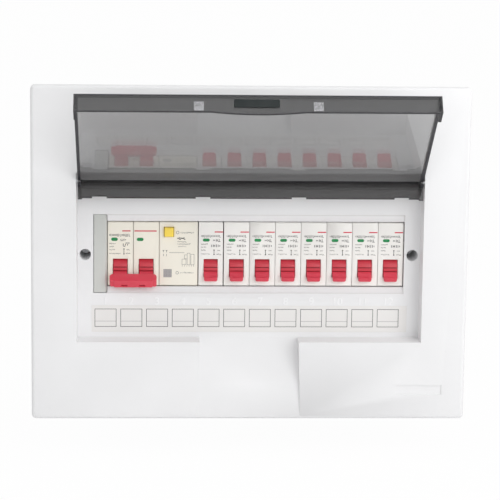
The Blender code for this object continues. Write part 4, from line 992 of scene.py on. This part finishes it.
# %% [markdown]
# ## Label fields and numbers
# The film shows twelve framed fields with a pale rule across each, one for every 18 mm of the row. Above each
# field its number stands out of the cover. It is the cover's own plastic, drawn a little lighter as a painted
# highlight for the light its relief catches. Frames and rules are one shape repeated by the row tree; the
# digits are extruded text made into meshes.

# %% Label frames
FIELDS, FIELD_STEP = 12, 18.0
FIELD_WIDE, FIELD_HIGH, FIELD_LINE = 14.8, 12.5, 0.5
FIELD_Z, ROW_MIDDLE = -47.8, -1.05
RULE_LOW, RULE_HIGH, RULE_HALF = -50.35, -50.05, 7.2
first_field = ROW_MIDDLE - FIELD_STEP * (FIELDS - 1) / 2
frames = grown(FRAME, "label_frame", Width=FIELD_WIDE * MM, Height=FIELD_HIGH * MM, Line=FIELD_LINE * MM,
               Relief=2 * INK, Material=INK_DARK)
frames.data.transform(Matrix.Translation((first_field * MM, FLOOR, FIELD_Z * MM)))
settle(repeated(frames, "label_frames", FIELDS, FIELD_STEP * MM, INK_DARK), "box", "label_paper", INK_DARK)
rule = bar(first_field - RULE_HALF, first_field + RULE_HALF, RULE_LOW, RULE_HIGH, FLOOR)
settle(repeated(rule, "label_rules", FIELDS, FIELD_STEP * MM, INK_PALE), "box", "label_paper", INK_PALE)

# %% Raised numbers
DIGIT_SIZE, DIGIT_RELIEF, DIGIT_EDGE, DIGIT_Z = 7.6, 0.25, 0.1, -38.3
numbers = []
for index in range(FIELDS):
    text = bpy.data.curves.new("number", "FONT")
    text.body = str(index + 1)
    text.align_x = "CENTER"
    text.size = DIGIT_SIZE * MM
    text.extrude = DIGIT_RELIEF * MM
    text.bevel_depth = DIGIT_EDGE * MM
    writing = bpy.data.objects.new("number", text)
    bpy.context.scene.collection.objects.link(writing)
    bpy.context.view_layer.update()
    mesh = bpy.data.meshes.new_from_object(writing.evaluated_get(bpy.context.evaluated_depsgraph_get()))
    bpy.data.objects.remove(writing, do_unlink=True)
    mesh.transform(Matrix.Translation(((first_field + index * FIELD_STEP) * MM, FLOOR, DIGIT_Z * MM))
                   @ Matrix.Rotation(math.pi / 2, 4, "X"))
    numbers.append(link(mesh, "number"))
settle(joined(numbers, "field_numbers"), "box", "cover_plastic", NUMBER_HIGHLIGHT_WHITE)
print("numbers", len(numbers))

# %% [markdown]
# ## Room, light and camera
# A plain pale floor and soft light from large lamps. Where the eye sees the room or the floor, straight or in
# a shiny surface, they are plain white, and only a faint shadow is left on the floor. The camera stands in
# front, a little above and to the left, with a long lens.

# %% Floor
FLOOR_DROP, FLOOR_HALF, FLOOR_FAR = 0.14, 6.0, 18.0
SHADOWLESS = 0.97  # how much of the floor is plain white; the rest takes the shadow


def seen_rays(tree):
    """1 on rays that end in the eye, straight or by way of a shiny or clear surface."""
    path = tree.nodes.new("ShaderNodeLightPath")
    source = path.outputs["Is Camera Ray"]
    for kind in ("Is Glossy Ray", "Is Transmission Ray"):
        either = tree.nodes.new("ShaderNodeMath")
        either.operation = "MAXIMUM"
        tree.links.new(source, either.inputs[0])
        tree.links.new(path.outputs[kind], either.inputs[1])
        source = either.outputs[0]
    return source


floor_mesh = bpy.data.meshes.new("floor")
floor_mesh.from_pydata([(-FLOOR_HALF, -FLOOR_HALF, -FLOOR_DROP), (FLOOR_HALF, -FLOOR_HALF, -FLOOR_DROP),
                        (FLOOR_HALF, FLOOR_FAR, -FLOOR_DROP), (-FLOOR_HALF, FLOOR_FAR, -FLOOR_DROP)],
                       [], [(0, 1, 2, 3)])
floor = link(floor_mesh, "floor")
floor_material, floor_shader = new_material("pale floor", (0.92, 0.92, 0.92), 0.8)
floor_tree = floor_material.node_tree
glow = floor_tree.nodes.new("ShaderNodeEmission")
mixer = floor_tree.nodes.new("ShaderNodeMixShader")
white_share = floor_tree.nodes.new("ShaderNodeMath")
white_share.operation = "MULTIPLY"
white_share.inputs[1].default_value = SHADOWLESS
floor_tree.links.new(seen_rays(floor_tree), white_share.inputs[0])
floor_tree.links.new(white_share.outputs[0], mixer.inputs["Fac"])
floor_tree.links.new(floor_shader.outputs["BSDF"], mixer.inputs[1])
floor_tree.links.new(glow.outputs["Emission"], mixer.inputs[2])
floor_tree.links.new(mixer.outputs["Shader"], floor_tree.nodes["Material Output"].inputs["Surface"])
floor.data.materials.append(floor_material)

# %% Room and lamps
ROOM_LIGHT, ROOM_SEEN = 0.61, 1.0
world = bpy.data.worlds.new("studio")
bpy.context.scene.world = world
world.use_nodes = True
world_tree = world.node_tree
background = world_tree.nodes["Background"]
bright = world_tree.nodes.new("ShaderNodeBackground")
for room, strength in ((background, ROOM_LIGHT), (bright, ROOM_SEEN)):
    room.inputs["Color"].default_value = (1.0, 1.0, 1.0, 1.0)
    room.inputs["Strength"].default_value = strength
pick = world_tree.nodes.new("ShaderNodeMixShader")
world_tree.links.new(seen_rays(world_tree), pick.inputs["Fac"])
world_tree.links.new(background.outputs["Background"], pick.inputs[1])
world_tree.links.new(bright.outputs["Background"], pick.inputs[2])
world_tree.links.new(pick.outputs["Shader"], world_tree.nodes["World Output"].inputs["Surface"])


def lamp(name, place, target, width, power):
    """A square lamp that looks from its place at the target."""
    light = bpy.data.lights.new(name, "AREA")
    light.shape = "SQUARE"
    light.size = width
    light.energy = power
    holder = bpy.data.objects.new(name, light)
    bpy.context.scene.collection.objects.link(holder)
    holder.location = place
    aim = (Vector(target) - Vector(place)).to_track_quat("-Z", "Y")
    holder.rotation_euler = aim.to_euler()
    return holder


lamp("key", (0.8, -1.2, 0.6), (0, FACE, 0), 1.1, 8.2)
lamp("top", (0.25, -0.75, 1.3), (0, FACE, 0), 0.8, 3.6)
lamp("fill", (-0.3, -1.9, 0.2), (0, FACE, 0), 1.6, 1.6)

# %% Camera
LENS = 158.04
YAW, PITCH_DOWN, ROLL = (math.radians(angle) for angle in (2.78, 9.92, 0.68))
STAND_X, STAND_AWAY, STAND_HIGH = -0.07265, 1.490, 0.2643
ahead = Vector((math.sin(YAW) * math.cos(PITCH_DOWN), math.cos(YAW) * math.cos(PITCH_DOWN),
                -math.sin(PITCH_DOWN)))
side = Vector((math.cos(YAW), -math.sin(YAW), 0.0))
above = side.cross(ahead)
right = math.cos(ROLL) * side + math.sin(ROLL) * above
up = math.cos(ROLL) * above - math.sin(ROLL) * side
view = Matrix((right, up, -ahead)).transposed().to_4x4()
view.translation = Vector((STAND_X, FRONT - STAND_AWAY, STAND_HIGH))
lens = bpy.data.cameras.new("camera")
lens.lens = LENS
lens.sensor_width = 36.0
lens.clip_end = 50.0
camera = bpy.data.objects.new("camera", lens)
bpy.context.scene.collection.objects.link(camera)
camera.matrix_world = view
bpy.context.scene.camera = camera
bpy.context.scene.view_settings.view_transform = "Standard"
